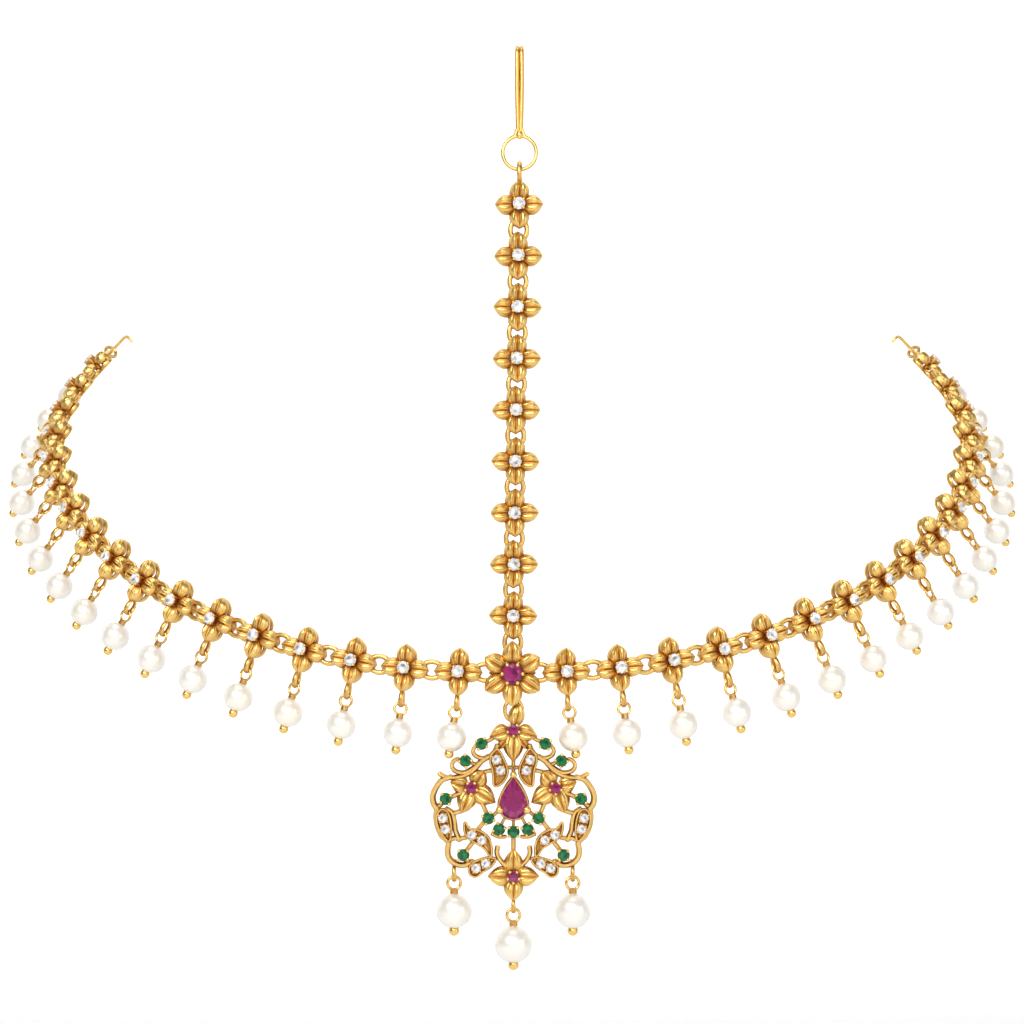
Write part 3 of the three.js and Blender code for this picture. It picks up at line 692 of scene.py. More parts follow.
def strand_places(side):
    """The links' places along a strand, as the CAD has them: place, step to it and step past it."""
    size = sizes()
    pitch = size.strand_pitch / MM
    count = size.strand_links
    plane_up = np.array([0, -math.sin(STRAND_TILT), math.cos(STRAND_TILT)])

    def heading_at(share):
        last = len(STRAND_HEADINGS) - 1
        spot = min(share, 1.0) * last
        k = int(spot)
        t = spot - k
        a, b, c, d = (STRAND_HEADINGS[min(max(k + j, 0), last)] for j in (-1, 0, 1, 2))
        return smooth_at(a, b, c, d, t)

    def step_at(share):
        heading = math.radians(heading_at(share))
        depth = math.sin(heading)
        return np.array([side * math.cos(heading), depth * math.cos(STRAND_TILT),
                         depth * math.sin(STRAND_TILT)])

    here = np.array([FLOWER_X, 0, FLOWER_Z])
    places = []
    for i in range(1, count + 1):
        step, following = step_at((i - 0.5) / count), step_at((i + 0.5) / count)
        here = here + step * pitch
        right = unit(step + following) * side
        outward = unit(np.cross(right, plane_up))
        up = plane_up * math.cos(STRAND_ROLL) - outward * math.sin(STRAND_ROLL)
        places.append({"matrix": place_at(here, right, up), "at": here, "step": step, "next": following,
                       "up": up})
    return places


def ring_place(position, right, up_here, up_before):
    up = unit(up_here + up_before)
    up = unit(up - right * np.dot(up, right))
    return place_at(position, right, up)


# Materials and finished pieces

def new_material(name):
    material = bpy.data.materials.new(name)
    material.use_nodes = True
    tree = material.node_tree
    shader = tree.nodes["Principled BSDF"]
    return material, tree, shader


def set_inputs(node, values):
    for name, value in values.items():
        node.inputs[name].default_value = value


def add_node(tree, kind, **values):
    node = tree.nodes.new(kind)
    for key, value in values.items():
        if key in node.inputs:
            node.inputs[key].default_value = value
        else:
            setattr(node, key, value)
    return node


def noise(tree, coordinates, scale, detail=3.0):
    node = add_node(tree, "ShaderNodeTexNoise", Scale=scale, Detail=detail)
    tree.links.new(coordinates, node.inputs["Vector"])
    return node.outputs["Fac"]


def math_node(tree, operation, a, b, clamp=False):
    node = tree.nodes.new("ShaderNodeMath")
    node.operation = operation
    node.use_clamp = clamp
    for socket, value in zip(node.inputs, (a, b)):
        if isinstance(value, (int, float)):
            socket.default_value = value
        else:
            tree.links.new(value, socket)
    return node.outputs[0]


def blend_colours(tree, share, first, second):
    node = tree.nodes.new("ShaderNodeMix")
    node.data_type = "RGBA"
    tree.links.new(share, node.inputs["Factor"])
    for socket, value in ((node.inputs["A"], first), (node.inputs["B"], second)):
        if isinstance(value, bpy.types.NodeSocket):
            tree.links.new(value, socket)
        else:
            socket.default_value = (*value, 1)
    return node.outputs["Result"]


def spread(tree, value, low, high):
    node = add_node(tree, "ShaderNodeMapRange")
    set_inputs(node, {"To Min": low, "To Max": high})
    tree.links.new(value, node.inputs["Value"])
    return node.outputs["Result"]


def attribute(tree, name):
    return add_node(tree, "ShaderNodeAttribute", attribute_name=name).outputs["Fac"]


def bump(tree, shader, layers):
    """Bump from (height, strength, distance) layers, one on the next."""
    last = None
    for height, strength, distance in layers:
        node = add_node(tree, "ShaderNodeBump", Strength=strength, Distance=distance)
        tree.links.new(height, node.inputs["Height"])
        if last is not None:
            tree.links.new(last, node.inputs["Normal"])
        last = node.outputs["Normal"]
    tree.links.new(last, shader.inputs["Normal"])


def gold_material(name, roughness, depth, grain):
    """Matt gold with a fine worked grain: bright on high places, with painted burnt-orange shade where
    ambient occlusion finds shade and where each point carries painted shade.
    """
    material, tree, shader = new_material(name)
    coordinates = tree.nodes.new("ShaderNodeTexCoord").outputs["Object"]
    # Painted shade from ambient occlusion, scaled by depth, plus each point's painted shade
    occlusion = add_node(tree, "ShaderNodeAmbientOcclusion", Distance=1.3 * MM, samples=6)
    occlusion_shade = math_node(tree, "SUBTRACT", 1.0, occlusion.outputs["AO"])
    occlusion_shade = math_node(tree, "MULTIPLY", occlusion_shade, depth)
    made = math_node(tree, "MULTIPLY", attribute(tree, "painted_shade"), 0.75)
    cloud = spread(tree, noise(tree, coordinates, scale=700), -0.1, 0.16)
    dark = math_node(tree, "ADD", math_node(tree, "ADD", occlusion_shade, made), cloud, clamp=True)
    colour = blend_colours(tree, dark, colours().gold, colours().gold_painted_shade)
    tree.links.new(colour, shader.inputs["Base Color"])
    shader.inputs["Metallic"].default_value = 1.0
    rough = spread(tree, noise(tree, coordinates, scale=2600), roughness - 0.06, roughness + 0.1)
    rough = math_node(tree, "ADD", rough, math_node(tree, "MULTIPLY", dark, 0.14), clamp=True)
    tree.links.new(rough, shader.inputs["Roughness"])
    bump(tree, shader, [(noise(tree, coordinates, scale=1500), 0.35 * grain, 0.05 * MM),
                        (noise(tree, coordinates, scale=7000), 0.5 * grain, 0.02 * MM)])
    return material


def pearl_material():
    """Cream pearl with a soft lustre and faint pink and green clouds."""
    material, tree, shader = new_material("pearl_lustre")
    coordinates = tree.nodes.new("ShaderNodeTexCoord").outputs["Object"]
    base = colours().pearl
    warm = (base[0], base[1] * 0.95, base[2] * 0.86)
    cool = (base[0] * 0.97, base[1] * 0.99, base[2] * 1.04)
    body = blend_colours(tree, attribute(tree, "tone"), warm, cool)
    cloud = spread(tree, noise(tree, coordinates, scale=420, detail=2), 0.0, 0.5)
    rosy = (base[0], base[1] * 0.93, base[2] * 0.96)
    tree.links.new(blend_colours(tree, cloud, body, rosy), shader.inputs["Base Color"])
    rough = spread(tree, noise(tree, coordinates, scale=900), 0.32, 0.42)
    tree.links.new(rough, shader.inputs["Roughness"])
    set_inputs(shader, {
        "Metallic": 0.35,
        "Subsurface Weight": 0.06,
        "Subsurface Radius": (1.2 * MM, 1.0 * MM, 0.8 * MM),
        "Subsurface Scale": 1.0,
        "Coat Weight": 1.0,
        "Coat Roughness": 0.13,
        "Sheen Weight": 0.12,
    })
    bump(tree, shader, [(noise(tree, coordinates, scale=1100, detail=1), 0.12, 0.03 * MM)])
    return material


def stone_material(name, colour, light, dark, transmission, ior):
    """A cut stone whose facets carry painted reflections, lighter and darker tones for the light and shade
    seen in its facets, with faint clouds inside. Light holds a factor and a lift.
    """
    material, tree, shader = new_material(name)
    coordinates = tree.nodes.new("ShaderNodeTexCoord").outputs["Object"]
    tone = attribute(tree, "tone")
    cloud = spread(tree, noise(tree, coordinates, scale=1300), -0.12, 0.12)
    share = math_node(tree, "ADD", tone, cloud, clamp=True)
    shaded_facet_colour = tuple(c * dark for c in colour)
    lit_facet_colour = tuple(min(1.0, c * light[0] + light[1]) for c in colour)
    tree.links.new(blend_colours(tree, share, shaded_facet_colour, lit_facet_colour), shader.inputs["Base Color"])
    rough = spread(tree, noise(tree, coordinates, scale=3000), 0.03, 0.09)
    tree.links.new(rough, shader.inputs["Roughness"])
    set_inputs(shader, {
        "Transmission Weight": transmission,
        "IOR": ior,
        "Specular IOR Level": 0.3,
        "Coat Weight": 0.15,
        "Coat Roughness": 0.03,
    })
    bump(tree, shader, [(noise(tree, coordinates, scale=2200, detail=1), 0.05, 0.01 * MM)])
    return material


FINISHES = {}


def finish_of(name):
    """Each finish is made once and shared."""
    if name not in FINISHES:
        colour = colours()
        FINISHES[name] = {
            "gold": lambda: gold_material("matt_gold", roughness=0.27, depth=0.85, grain=1.0),
            "wire": lambda: gold_material("gold_wire", roughness=0.24, depth=0.6, grain=0.45),
            "bead": lambda: gold_material("gold_bead", roughness=0.2, depth=0.45, grain=0.3),
            "pearl": pearl_material,
            "ruby": lambda: stone_material("ruby_stone", colour.ruby, light=(1.8, 0.02), dark=0.5,
                                           transmission=0.0, ior=1.76),
            "emerald": lambda: stone_material("emerald_stone", colour.emerald, light=(1.8, 0.004), dark=0.35,
                                              transmission=0.0, ior=1.58),
            "clear": lambda: stone_material("clear_stone", colour.clear, light=(1.08, 0.0), dark=0.28,
                                            transmission=0.12, ior=2.0),
        }[name]()
    return FINISHES[name]


def add_object(name, data):
    thing = bpy.data.objects.new(name, data)
    bpy.context.scene.collection.objects.link(thing)
    return thing


def make_piece(name, form, finish, body, stands_for=(), sharp=42, flat=False):
    """Turns a form into a mesh object in metres that rides on a body."""
    mesh = bpy.data.meshes.new(name)
    points = np.vstack(form.points) * MM
    mesh.from_pydata(points.tolist(), [], form.faces)
    # Each point's painted shade, and each face's tone: a pearl's tint, a stone facet's painted reflection
    mesh.attributes.new("painted_shade", "FLOAT", "POINT").data.foreach_set("value", np.concatenate(form.painted_shade))
    mesh.attributes.new("tone", "FLOAT", "FACE").data.foreach_set("value", np.array(form.tones, float))
    work = bmesh.new()
    work.from_mesh(mesh)
    bmesh.ops.recalc_face_normals(work, faces=work.faces)
    work.to_mesh(mesh)
    work.free()
    mesh.validate()
    if not flat:
        mesh.shade_smooth()
        mesh.set_sharp_from_angle(angle=math.radians(sharp))
    mesh.materials.append(finish_of(finish))
    piece = add_object(name, mesh)
    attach(piece, body)
    if stands_for:
        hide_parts(*stands_for)


# Pieces

def make_hair_hook():
    form = Form()
    wire, back, drop, tail = 0.33, 2.6, 12.6, 10.5
    bend = back / 2
    top = -bend - wire
    route = [(0, 0, -drop - wire), (0, 0, -drop / 2), (0, 0, top), (0, bend * 0.3, top + bend * 0.72),
             (0, bend, -wire), (0, bend * 1.7, top + bend * 0.72), (0, back, top), (0, back, -tail / 2),
             (0, back, -tail)]
    path = smooth_path(route, 7)
    height = -path[:, 2]
    gap = np.interp(height, [0, drop * 0.45, drop * 0.85, drop + wire], [0.3, 0.34, 0.24, 0.14])
    for side in (-1, 1):
        strand = path.copy()
        strand[:, 0] += side * gap
        tube(form, strand, wire, 10, up=X_AXIS)
    ball(form, (0, 0, -drop - 0.1), 0.52, 12, 8, squash=1.25)
    for side in (-1, 1):
        fillet = [(side * 0.45, 0, -drop + 0.7), (side * 0.5, 0, -drop + 0.1),
                  (side * 0.85, 0, -drop - 0.35), (side * 1.5, 0, -drop - 0.75)]
        solder = smooth_path(fillet, 4)
        # A little painted shade on the solder fillets
        tube(form, solder, np.linspace(0.26, 0.2, len(solder)), up=Y_AXIS, painted_shade=0.15)
    ring, ring_wire = 2.35, 0.27
    oval_ring(form, ring, ring, ring_wire, (facing_front(0, HOOK_RING_Z),), steps=48)
    make_piece("hair_hook_wires", form, "wire", "root", ["hair_hook"])


def make_parting_chain():
    """The links, their rings and the bail, on a line that leans a little towards the centre flower."""
    size = sizes()
    pitch = size.chain_pitch / MM
    metal, stones = Form(), Form()
    flower_drop = FLOWER_Z - BAIL_Z

    def lean(z):
        return FLOWER_X * (z - BAIL_Z) / flower_drop

    angles = round_angles(24)
    bail = np.column_stack([np.zeros(len(angles)), 1.35 * np.sin(angles), np.cos(angles)])
    tube(metal, moved(bail, facing_front(lean(BAIL_Z), BAIL_Z)), 0.3, closed=True, up=X_AXIS, flat=1.25)
    links = [link_flower(seed) for seed in range(LINK_CASTS)]
    for i in range(size.chain_links):
        z = FIRST_LINK_Z - i * pitch
        spot = facing_front(lean(z), z)
        metal.stamp(links[i % LINK_CASTS], spot)
        stones.stamp(link_stone(SEEDS["chain_stone"] + i), turn(i * 0.9), spot)
        gap = pitch if i < size.chain_links - 1 else pitch + 0.3
        below = z - gap / 2
        connecting_ring(metal, turn(-math.pi / 2), facing_front(lean(below), below), twist=RING_TWIST)
    make_piece("parting_chain_links", metal, "gold", "root", ["parting_chain"])
    make_piece("parting_chain_stones", stones, "clear", "root", flat=True)


def make_strands():
    """Both strands: the links with their cast loops, the rings between them and one past the last link."""
    pitch = sizes().strand_pitch / MM
    links = [link_flower(seed) for seed in range(LINK_CASTS)]
    for link in links:
        link.stamp(cast_loop(**LINK_LOOP))
    for side, name in SIDES:
        metal, stones = Form(), Form()
        places = strand_places(side)
        for i, spot in enumerate(places):
            metal.stamp(links[i % LINK_CASTS], spot["matrix"])
            stone = link_stone(SEEDS["strand_stone"] + i + 20 * side)
            stones.stamp(stone, turn(i * 0.7), spot["matrix"])
            before = places[i - 1]["up"] if i else spot["up"]
            middle = spot["at"] - spot["step"] * pitch / 2
            ring = ring_place(middle, spot["step"] * side, spot["up"], before)
            connecting_ring(metal, ring, twist=RING_TWIST * side)
        end = places[-1]
        middle = end["at"] + end["next"] * pitch / 2
        connecting_ring(metal, ring_place(middle, end["next"] * side, end["up"], end["up"]))
        make_piece(f"strand_{name}_links", metal, "gold", "root", [f"strand_{name}"])
        make_piece(f"strand_{name}_stones", stones, "clear", "root", flat=True)


def make_small_drops():
    """A pearl drop under each link. The first of each strand leans away from the pendant."""
    size = sizes()
    radius = size.pearl / MM
    collar = [(0, 0), (0.34, 0), (0.42, 0.16), (0.2, 0.22), (0, 0.22)]
    for side, name in SIDES:
        metal, pearls = Form(), Form()
        for i, spot in enumerate(strand_places(side)):
            seed = SEEDS["link_drop"] + i + 50 * side
            fitted, top = drop_metal(**LINK_EYE, seed=seed)
            bottom = top - 2 * radius
            ball(fitted, (0, bottom - 0.3, 0), 0.7, 16, 10)
            lathe(fitted, collar, 10, turn(math.pi / 2, "x") @ shift(0, 0, -bottom - 0.1))
            lean = turn(side * FIRST_DROP_LEAN if i == 0 else 0.0)
            hang = (shift(0, DROP_HANG), lean, shift(0, -DROP_HANG), spot["matrix"])
            pearls.stamp(pearl_body(radius, top, seed), *hang)
            metal.stamp(fitted, *hang)
        nodes = [f"pearl_drop_{name}_{i + 1:02d}" for i in range(size.strand_links)]
        make_piece(f"strand_{name}_pearls", pearls, "pearl", "root", nodes, sharp=80)
        make_piece(f"strand_{name}_drop_wires", metal, "bead", "root")


def make_end_hooks():
    """The small hook on the last ring of each strand."""
    pitch = sizes().strand_pitch / MM
    eye, wire, shank, bend = 1.0, 0.3, 4.2, 0.9
    for side, name in SIDES:
        form = Form()
        end = strand_places(side)[-1]
        start = end["at"] + end["next"] * (pitch / 2 + RING_TIP)
        right = end["next"] * side
        up = unit(end["up"] - right * np.dot(end["up"], right))
        spot = place_at(start, right, up)
        tip = eye + shank
        route = [(eye * 0.9, 0, 0), (eye + shank * 0.5, 0, 0), (tip, 0, 0),
                 (tip + bend * 0.7, 0, -bend * 0.4), (tip + bend * 0.6, 0, -bend * 1.7)]
        path = smooth_path([(side * x, y, z) for x, y, z in route], 6)
        tube(form, moved(path, spot), np.linspace(wire * 1.1, wire * 0.8, len(path)), up=up)
        angles = round_angles(24)
        round_eye = np.column_stack([eye * np.cos(angles), np.zeros(len(angles)), eye * np.sin(angles)])
        tube(form, moved(round_eye, spot), wire, closed=True, up=up)
        make_piece(f"end_hook_{name}_wire", form, "wire", "root", [f"end_hook_{name}"])


def make_centre_flower():
    """Six petals and a ruby, with lugs for the chain, the strands and the pendant's ring."""
    form = Form()
    spot = facing_front(FLOWER_X, FLOWER_Z)
    for degrees, reach, thick, stem_share in CENTRE_PETALS:
        spin = turn(math.radians(degrees))
        base = 2.1 - 1.4 * thick
        cast = petal(reach, CENTRE_PETAL_HALF_WIDTH, CENTRE_PETAL_START, height=thick, base=base)
        form.stamp(cast, spin)
        # Painted shade on the stems and inner bars under the petals
        stem = [(1.4, 0, 1.0), (2.1, 0, 0.8), (reach * stem_share, 0, 0.95)]
        tube(form, moved(np.array(stem), spin), [0.35, 0.45, 0.2], 6, painted_shade=0.7)
        inner = [(0.4, 0, 0.75), (1.6, 0, 0.9)]
        tube(form, moved(np.array(inner), spin), 0.42, 6, painted_shade=0.8)
    heights = CENTRE_STONE_HEIGHTS
    for i in range(6):
        claw(form, math.radians(60 * i), (1.45, 1.0), (1.42, heights["claw"]), radius=0.2, bead=0.3)
    stone_cup(form, 1.45, 0.6, heights["cup"])
    strand_end = sizes().strand_pitch / MM / 2 - RING_TIP
    quarter = math.pi / 2
    lug = cross_loop(0.7, 0.8)
    for x, y, spin in ((-strand_end, 0, quarter), (strand_end, 0, quarter), (0, 3.18, 0), (0, -3.7, 0)):
        matrix = shift(x, y) @ turn(spin)
        # A little painted shade on the lugs, and more on the braces behind
        tube(form, moved(lug, matrix), 0.25, closed=True, up=matrix[:3, :3] @ X_AXIS, painted_shade=0.3)
        reach = math.hypot(x, y)
        outward = np.array([x, y, 0]) / reach
        brace = [outward * 0.5 + Z_AXIS * 0.5, outward * (reach - 0.45) + Z_AXIS * 0.6]
        tube(form, brace, 0.26, 6, painted_shade=0.7)
    metal = Form().stamp(form, spot)
    make_piece("centre_flower_petals", metal, "gold", "root", ["centre_flower"])
    ruby = brilliant(CENTRE_RUBY, heights["girdle"], heights["table"], heights["culet"],
                     SEEDS["centre_ruby"], contrast=0.7)
    make_piece("centre_ruby_stone", Form().stamp(ruby, spot), "ruby", "root", flat=True)


def pear_points(width, height, count):
    """A pear outline, point up."""
    half = width / 2
    low = [(half * math.cos(math.pi + math.pi * i / (count - 1)),
            half * math.sin(math.pi + math.pi * i / (count - 1)) - height / 2 + half) for i in range(count)]
    rise = height - half
    high = []
    for i in range(1, count - 1):
        share = i / (count - 1)
        high.append((half * (1 - share**1.6), half - height / 2 + rise * share))
    return low + high + [(0, height / 2)] + [(-x, y) for x, y in reversed(high)]


def pear_stone():
    """The main stone: pear girdle, two rows of crown facets, a flat table and a pointed back, with painted
    reflections in the tones of its facets.
    """
    draw = np.random.default_rng(SEEDS["pear"])
    outline = np.array(pear_points(*PEAR_SIZE, PEAR_CORNERS))
    count = len(outline)
    # Share of the outline and height of the girdle's two edges, the crown's break and the table's edge
    rows = [(1.0, 1.1), (1.0, 1.25), (0.84, 1.72), (0.62, PEAR_FACE)]
    points = [(x * share, y * share, height) for share, height in rows for x, y in outline]
    points += [(0, 0, PEAR_FACE), (0, -0.3, -0.1)]
    faces, tones = [], []
    for row in range(3):
        for i in range(count):
            ahead = (i + 1) % count
            a, b = row * count + i, row * count + ahead
            faces.append((a, b, b + count, a + count))
            # Painted reflection: each crown facet is made lighter or darker at random
            tones.append(0.5 + draw.uniform(-0.25, 0.4))
    for i in range(count):
        ahead = (i + 1) % count
        faces.append((3 * count + i, 3 * count + ahead, 4 * count))
        tones.append(0.42 + draw.uniform(-0.06, 0.06))
        faces.append((ahead, i, 4 * count + 1))
        tones.append(0.4)
    return Form().add(points, faces, 0.0, tones)


def pendant_leaf(outline, stones_at, metal, stones, seed, matrix):
    """A leaf with a raised rim, a sunk floor and two clear stones held by beads."""
    rim = smooth_path(outline, 4, closed=True)
    rim[:, 2] = 0.75
    form = Form()
    tube(form, rim, 0.2, closed=True, flat=1.5)
    middle_x, middle_y, _ = rim.mean(axis=0)
    count = len(rim)
    floor = [(x, y, height) for height in (LEAF_FACE, LEAF_BACK) for x, y, _ in rim]
    floor += [(middle_x, middle_y, LEAF_FACE), (middle_x, middle_y, LEAF_BACK)]
    faces = []
    for i in range(count):
        ahead = (i + 1) % count
        faces.append((i, ahead, count + ahead, count + i))
        faces.append((i, ahead, 2 * count))
        faces.append((count + ahead, count + i, 2 * count + 1))
    # Painted shade on the sunk floor, less on its back
    form.add(floor, faces, [0.75] * count + [0.3] * count + [0.7, 0.3])
    x, y = stones_at[-1]
    tail = max(outline, key=lambda point: math.dist(point, stones_at[0]))
    fold = [(x, y, 0.6), ((x + tail[0]) / 2, (y + tail[1]) / 2, 0.66), (tail[0], tail[1], 0.6)]
    tube(form, fold, [0.3, 0.24, 0.1], 6, flat=0.9, painted_shade=0.15)
    cup = [(0, 0.5), (0.76, 0.5), (0.78, 1.0), (0.7, 1.1), (0.62, 1.02), (0, 0.8)]
    for number, (x, y) in enumerate(stones_at):
        lathe(form, cup, 16, shift(x, y), painted_shade=0.1)
        stone = brilliant(LEAF_STONE, 1.06, 1.34, 0.5, seed + number, contrast=0.95, level=0.6)
        stones.stamp(stone, shift(x, y), matrix)
        for k in range(4):
            angle = k * math.pi / 2 + 0.6
            ball(form, (x + 0.7 * math.cos(angle), y + 0.7 * math.sin(angle), 1.12), 0.18, 8, 5)
    metal.stamp(form, matrix)


def stone_in_claws(metal, stones, cut, at, seed, matrix, spin):
    """A stone of the given cut in its cup, held by claws, at a place of the pendant."""
    form = Form()
    radius, girdle, claws = cut["radius"], cut["girdle"], cut["claws"]
    stone_cup(form, radius * 1.02, -0.5, girdle - 0.05, 0.5)
    for k in range(claws):
        head = (radius * 0.96, girdle + 0.14)
        claw(form, spin + k * 2 * math.pi / claws, (radius * 0.9, 0.0), head, bead=0.25)
    metal.stamp(form, shift(*at), matrix)
    stone = brilliant(radius * 0.98, girdle, cut["table"], 0.2, seed, contrast=0.8)
    stones.stamp(stone, turn(spin), shift(*at), matrix)


def pendant_flower(metal, rubies, flower, seed, matrix):
    """Pointed petals on stalks round a small ruby."""
    form = Form()
    for degrees, reach, half, behind in flower["petals"]:
        spin = turn(math.radians(degrees))
        form.stamp(petal(reach, half, 0.5, height=0.8, base=-behind, widths=SHIELD_WIDTH), spin)
        # Painted shade on the stalks under the petals
        stalk = [(0.3, 0, -0.2), (reach * 0.55, 0, -0.1), (reach * 0.82, 0, 0.0)]
        tube(form, moved(np.array(stalk), spin), [0.4, 0.5, 0.3], painted_shade=0.75)
    metal.stamp(form, shift(*flower["at"]), matrix)
    stone_in_claws(metal, rubies, SMALL_RUBY, flower["at"], seed, matrix, spin=math.radians(54))


def pendant_place():
    """From the pendant's own frame to the jewel's, through the point that it swings about."""
    return shift(0, -PENDANT_TOP), place_at(SWING, X_AXIS, Z_AXIS)


def pear_setting(metal):
    """The pear stone's collet, its thin upper edge and its three claws."""
    # Painted shade on the collet and on the claws' stems
    collet = [(x, y + PEAR_MIDDLE, 0.4) for x, y in pear_points(4.1, 6.05, PEAR_CORNERS)]
    tube(metal, collet, 0.24, closed=True, flat=3.2, painted_shade=0.45)
    thin = [(x, y + PEAR_MIDDLE, 1.12) for x, y in pear_points(4.08, 6.0, PEAR_CORNERS)]
    tube(metal, thin, 0.1, closed=True, flank_shade=0.1)
    for x, y, bead in PEAR_CLAWS:
        foot, head = (x, y + PEAR_MIDDLE, -0.2), (x, y + PEAR_MIDDLE, 1.3)
        ball(metal, (x, y + PEAR_MIDDLE, 1.45), bead, 16, 9, squash=0.85)
        tube(metal, [foot, head], 0.3, up=Y_AXIS, painted_shade=0.4)


def pendant_side(metal, rubies, emeralds, clears, side, matrix):
    """What the pendant has on both sides: vines, leaves, emeralds, a flower and a drop's loop."""
    for route, start, end in SCROLLS:
        path = smooth_path(route, 5)
        path[:, 2] = 0.25
        radii = np.linspace(start, end, len(path))
        # A little painted shade on the vines
        tube(metal, moved(path, matrix), radii, flat=1.35, painted_shade=0.05)
        ball(metal, moved(path[-1:], matrix)[0], end * 1.12, 10, 6)
    for number, leaf in enumerate(LEAVES):
        seed = SEEDS["leaf_stone"] + 10 * number + 50 * side
        pendant_leaf(leaf["outline"], leaf["stones"], metal, clears, seed, matrix)
    for number, at in enumerate(EMERALD_PAIRS):
        seed = SEEDS["emerald"] + number + 20 * side
        stone_in_claws(metal, emeralds, EMERALD, at, seed, matrix, spin=0.5 + number)
    pendant_flower(metal, rubies, SIDE_FLOWER, SEEDS["side_flower"] + side, matrix)
    x, y = SIDE_LOOP
    metal.stamp(cast_loop(**SIDE_DROP_LOOP), shift(x, y), matrix)
    tube(metal, moved(np.array([(x - 0.1, y + 1.9, 0.1), (x, y + 0.9, 0)]), matrix), 0.3)


def make_pendant():
    """The pierced pendant, its ring and all its stones."""
    metal, rubies, emeralds, clears = Form(), Form(), Form(), Form()
    middle = np.eye(4)
    for side, matrix in enumerate((middle, mirror())):
        pendant_side(metal, rubies, emeralds, clears, side, matrix)
    for number, flower in enumerate(PENDANT_FLOWERS):
        pendant_flower(metal, rubies, flower, SEEDS["flower"] + number, middle)
    stone_in_claws(metal, emeralds, EMERALD, LOWEST_EMERALD, SEEDS["lowest_emerald"], middle, spin=0.8)
    upper_leaf = petal(3.5, 1.2, 0.3, height=0.72, base=0.05)
    metal.stamp(upper_leaf, turn(0.3, "x"), turn(math.radians(79)), shift(0.02, -3.1))
    for route, radius in MIDDLE_VINES:
        # Painted shade on the middle vines
        tube(metal, [(x, y, 0.2) for x, y in route], radius, flat=1.3, painted_shade=0.3)
    metal.stamp(cast_loop(**BOTTOM_DROP_LOOP), shift(*BOTTOM_LOOP))
    pear_setting(metal)
    lug = tube(Form(), cross_loop(0.95, 0.95), 0.25, closed=True, up=X_AXIS)
    metal.stamp(lug, shift(0, -2 * PENDANT_RING_TALL + PENDANT_TOP))
    for name, form, finish, slot, stands_for in (
        ("pendant_metalwork", metal, "gold", "gold", ["pendant_frame"]),
        ("pendant_rubies", rubies, "ruby", "ruby", []),
        ("pendant_emeralds", emeralds, "emerald", "emerald", []),
        ("pendant_clear_stones", clears, "clear", "clear_stone", []),
    ):
        placed = Form().stamp(form, *pendant_place())
        make_piece(name, placed, finish, "pendant", stands_for, flat=finish != "gold")
    stone = Form().stamp(pear_stone(), shift(0, PEAR_MIDDLE), *pendant_place())
    make_piece("pear_ruby_stone", stone, "ruby", "pendant", ["pear_ruby"], flat=True)
    # The ring hangs from the point that the pendant swings about
    hung = (shift(0, -PENDANT_RING_TALL), pendant_place()[1])
    ring = oval_ring(Form(), PENDANT_RING_WIDE, PENDANT_RING_TALL, PENDANT_RING_WIRE, hung, steps=36)
    make_piece("pendant_ring_wire", ring, "wire", "pendant", ["pendant_ring"])


def make_pendant_drops():
    """The two side drops and the larger one at the bottom."""
    size = sizes()
    side_pearl, bottom_pearl = size.side_pearl / MM, size.bottom_pearl / MM
    metal, pearls = Form(), Form()
    for side, (loop_x, loop_y), radius in ((-1, SIDE_LOOP, side_pearl), (1, SIDE_LOOP, side_pearl),
                                           (1, BOTTOM_LOOP, bottom_pearl)):
        seed = int(SEEDS["pendant_drop"] + 10 * side + loop_x)
        spot = shift(side * loop_x, loop_y)
        fitted, top = drop_metal(**PENDANT_EYE, seed=seed)
        pearls.stamp(pearl_body(radius, top, seed), spot, *pendant_place())
        ball(fitted, (0, top - 2 * radius - 0.3, 0), 0.76, 16, 10)
        metal.stamp(fitted, spot, *pendant_place())
    make_piece("pendant_pearls", pearls, "pearl", "pendant",
               ["pendant_drop_left", "pendant_drop_right", "pendant_drop_bottom"], sharp=80)
    make_piece("pendant_drop_wires", metal, "bead", "pendant")


def stage_paper():
    """White paper that glows more towards the wall, so that the backdrop stays white."""
    material, tree, shader = new_material("stage_paper")
    colour = colours().stage
    coordinates = tree.nodes.new("ShaderNodeTexCoord").outputs["Object"]
    share = spread(tree, noise(tree, coordinates, scale=6), 0.0, 0.06)
    shaded = tuple(c * 0.96 for c in colour)
    tree.links.new(blend_colours(tree, share, colour, shaded), shader.inputs["Base Color"])
    set_inputs(shader, {"Roughness": 0.9, "Emission Color": (1, 1, 1, 1)})
    depth = add_node(tree, "ShaderNodeSeparateXYZ")
    tree.links.new(coordinates, depth.inputs["Vector"])
    glow = add_node(tree, "ShaderNodeMapRange", interpolation_type="SMOOTHSTEP")
    set_inputs(glow, {"From Min": 0.1, "From Max": SWEEP["wall"], "To Min": 0.05, "To Max": 0.75})
    tree.links.new(depth.outputs["Y"], glow.inputs["Value"])
    tree.links.new(glow.outputs["Result"], shader.inputs["Emission Strength"])
    return material


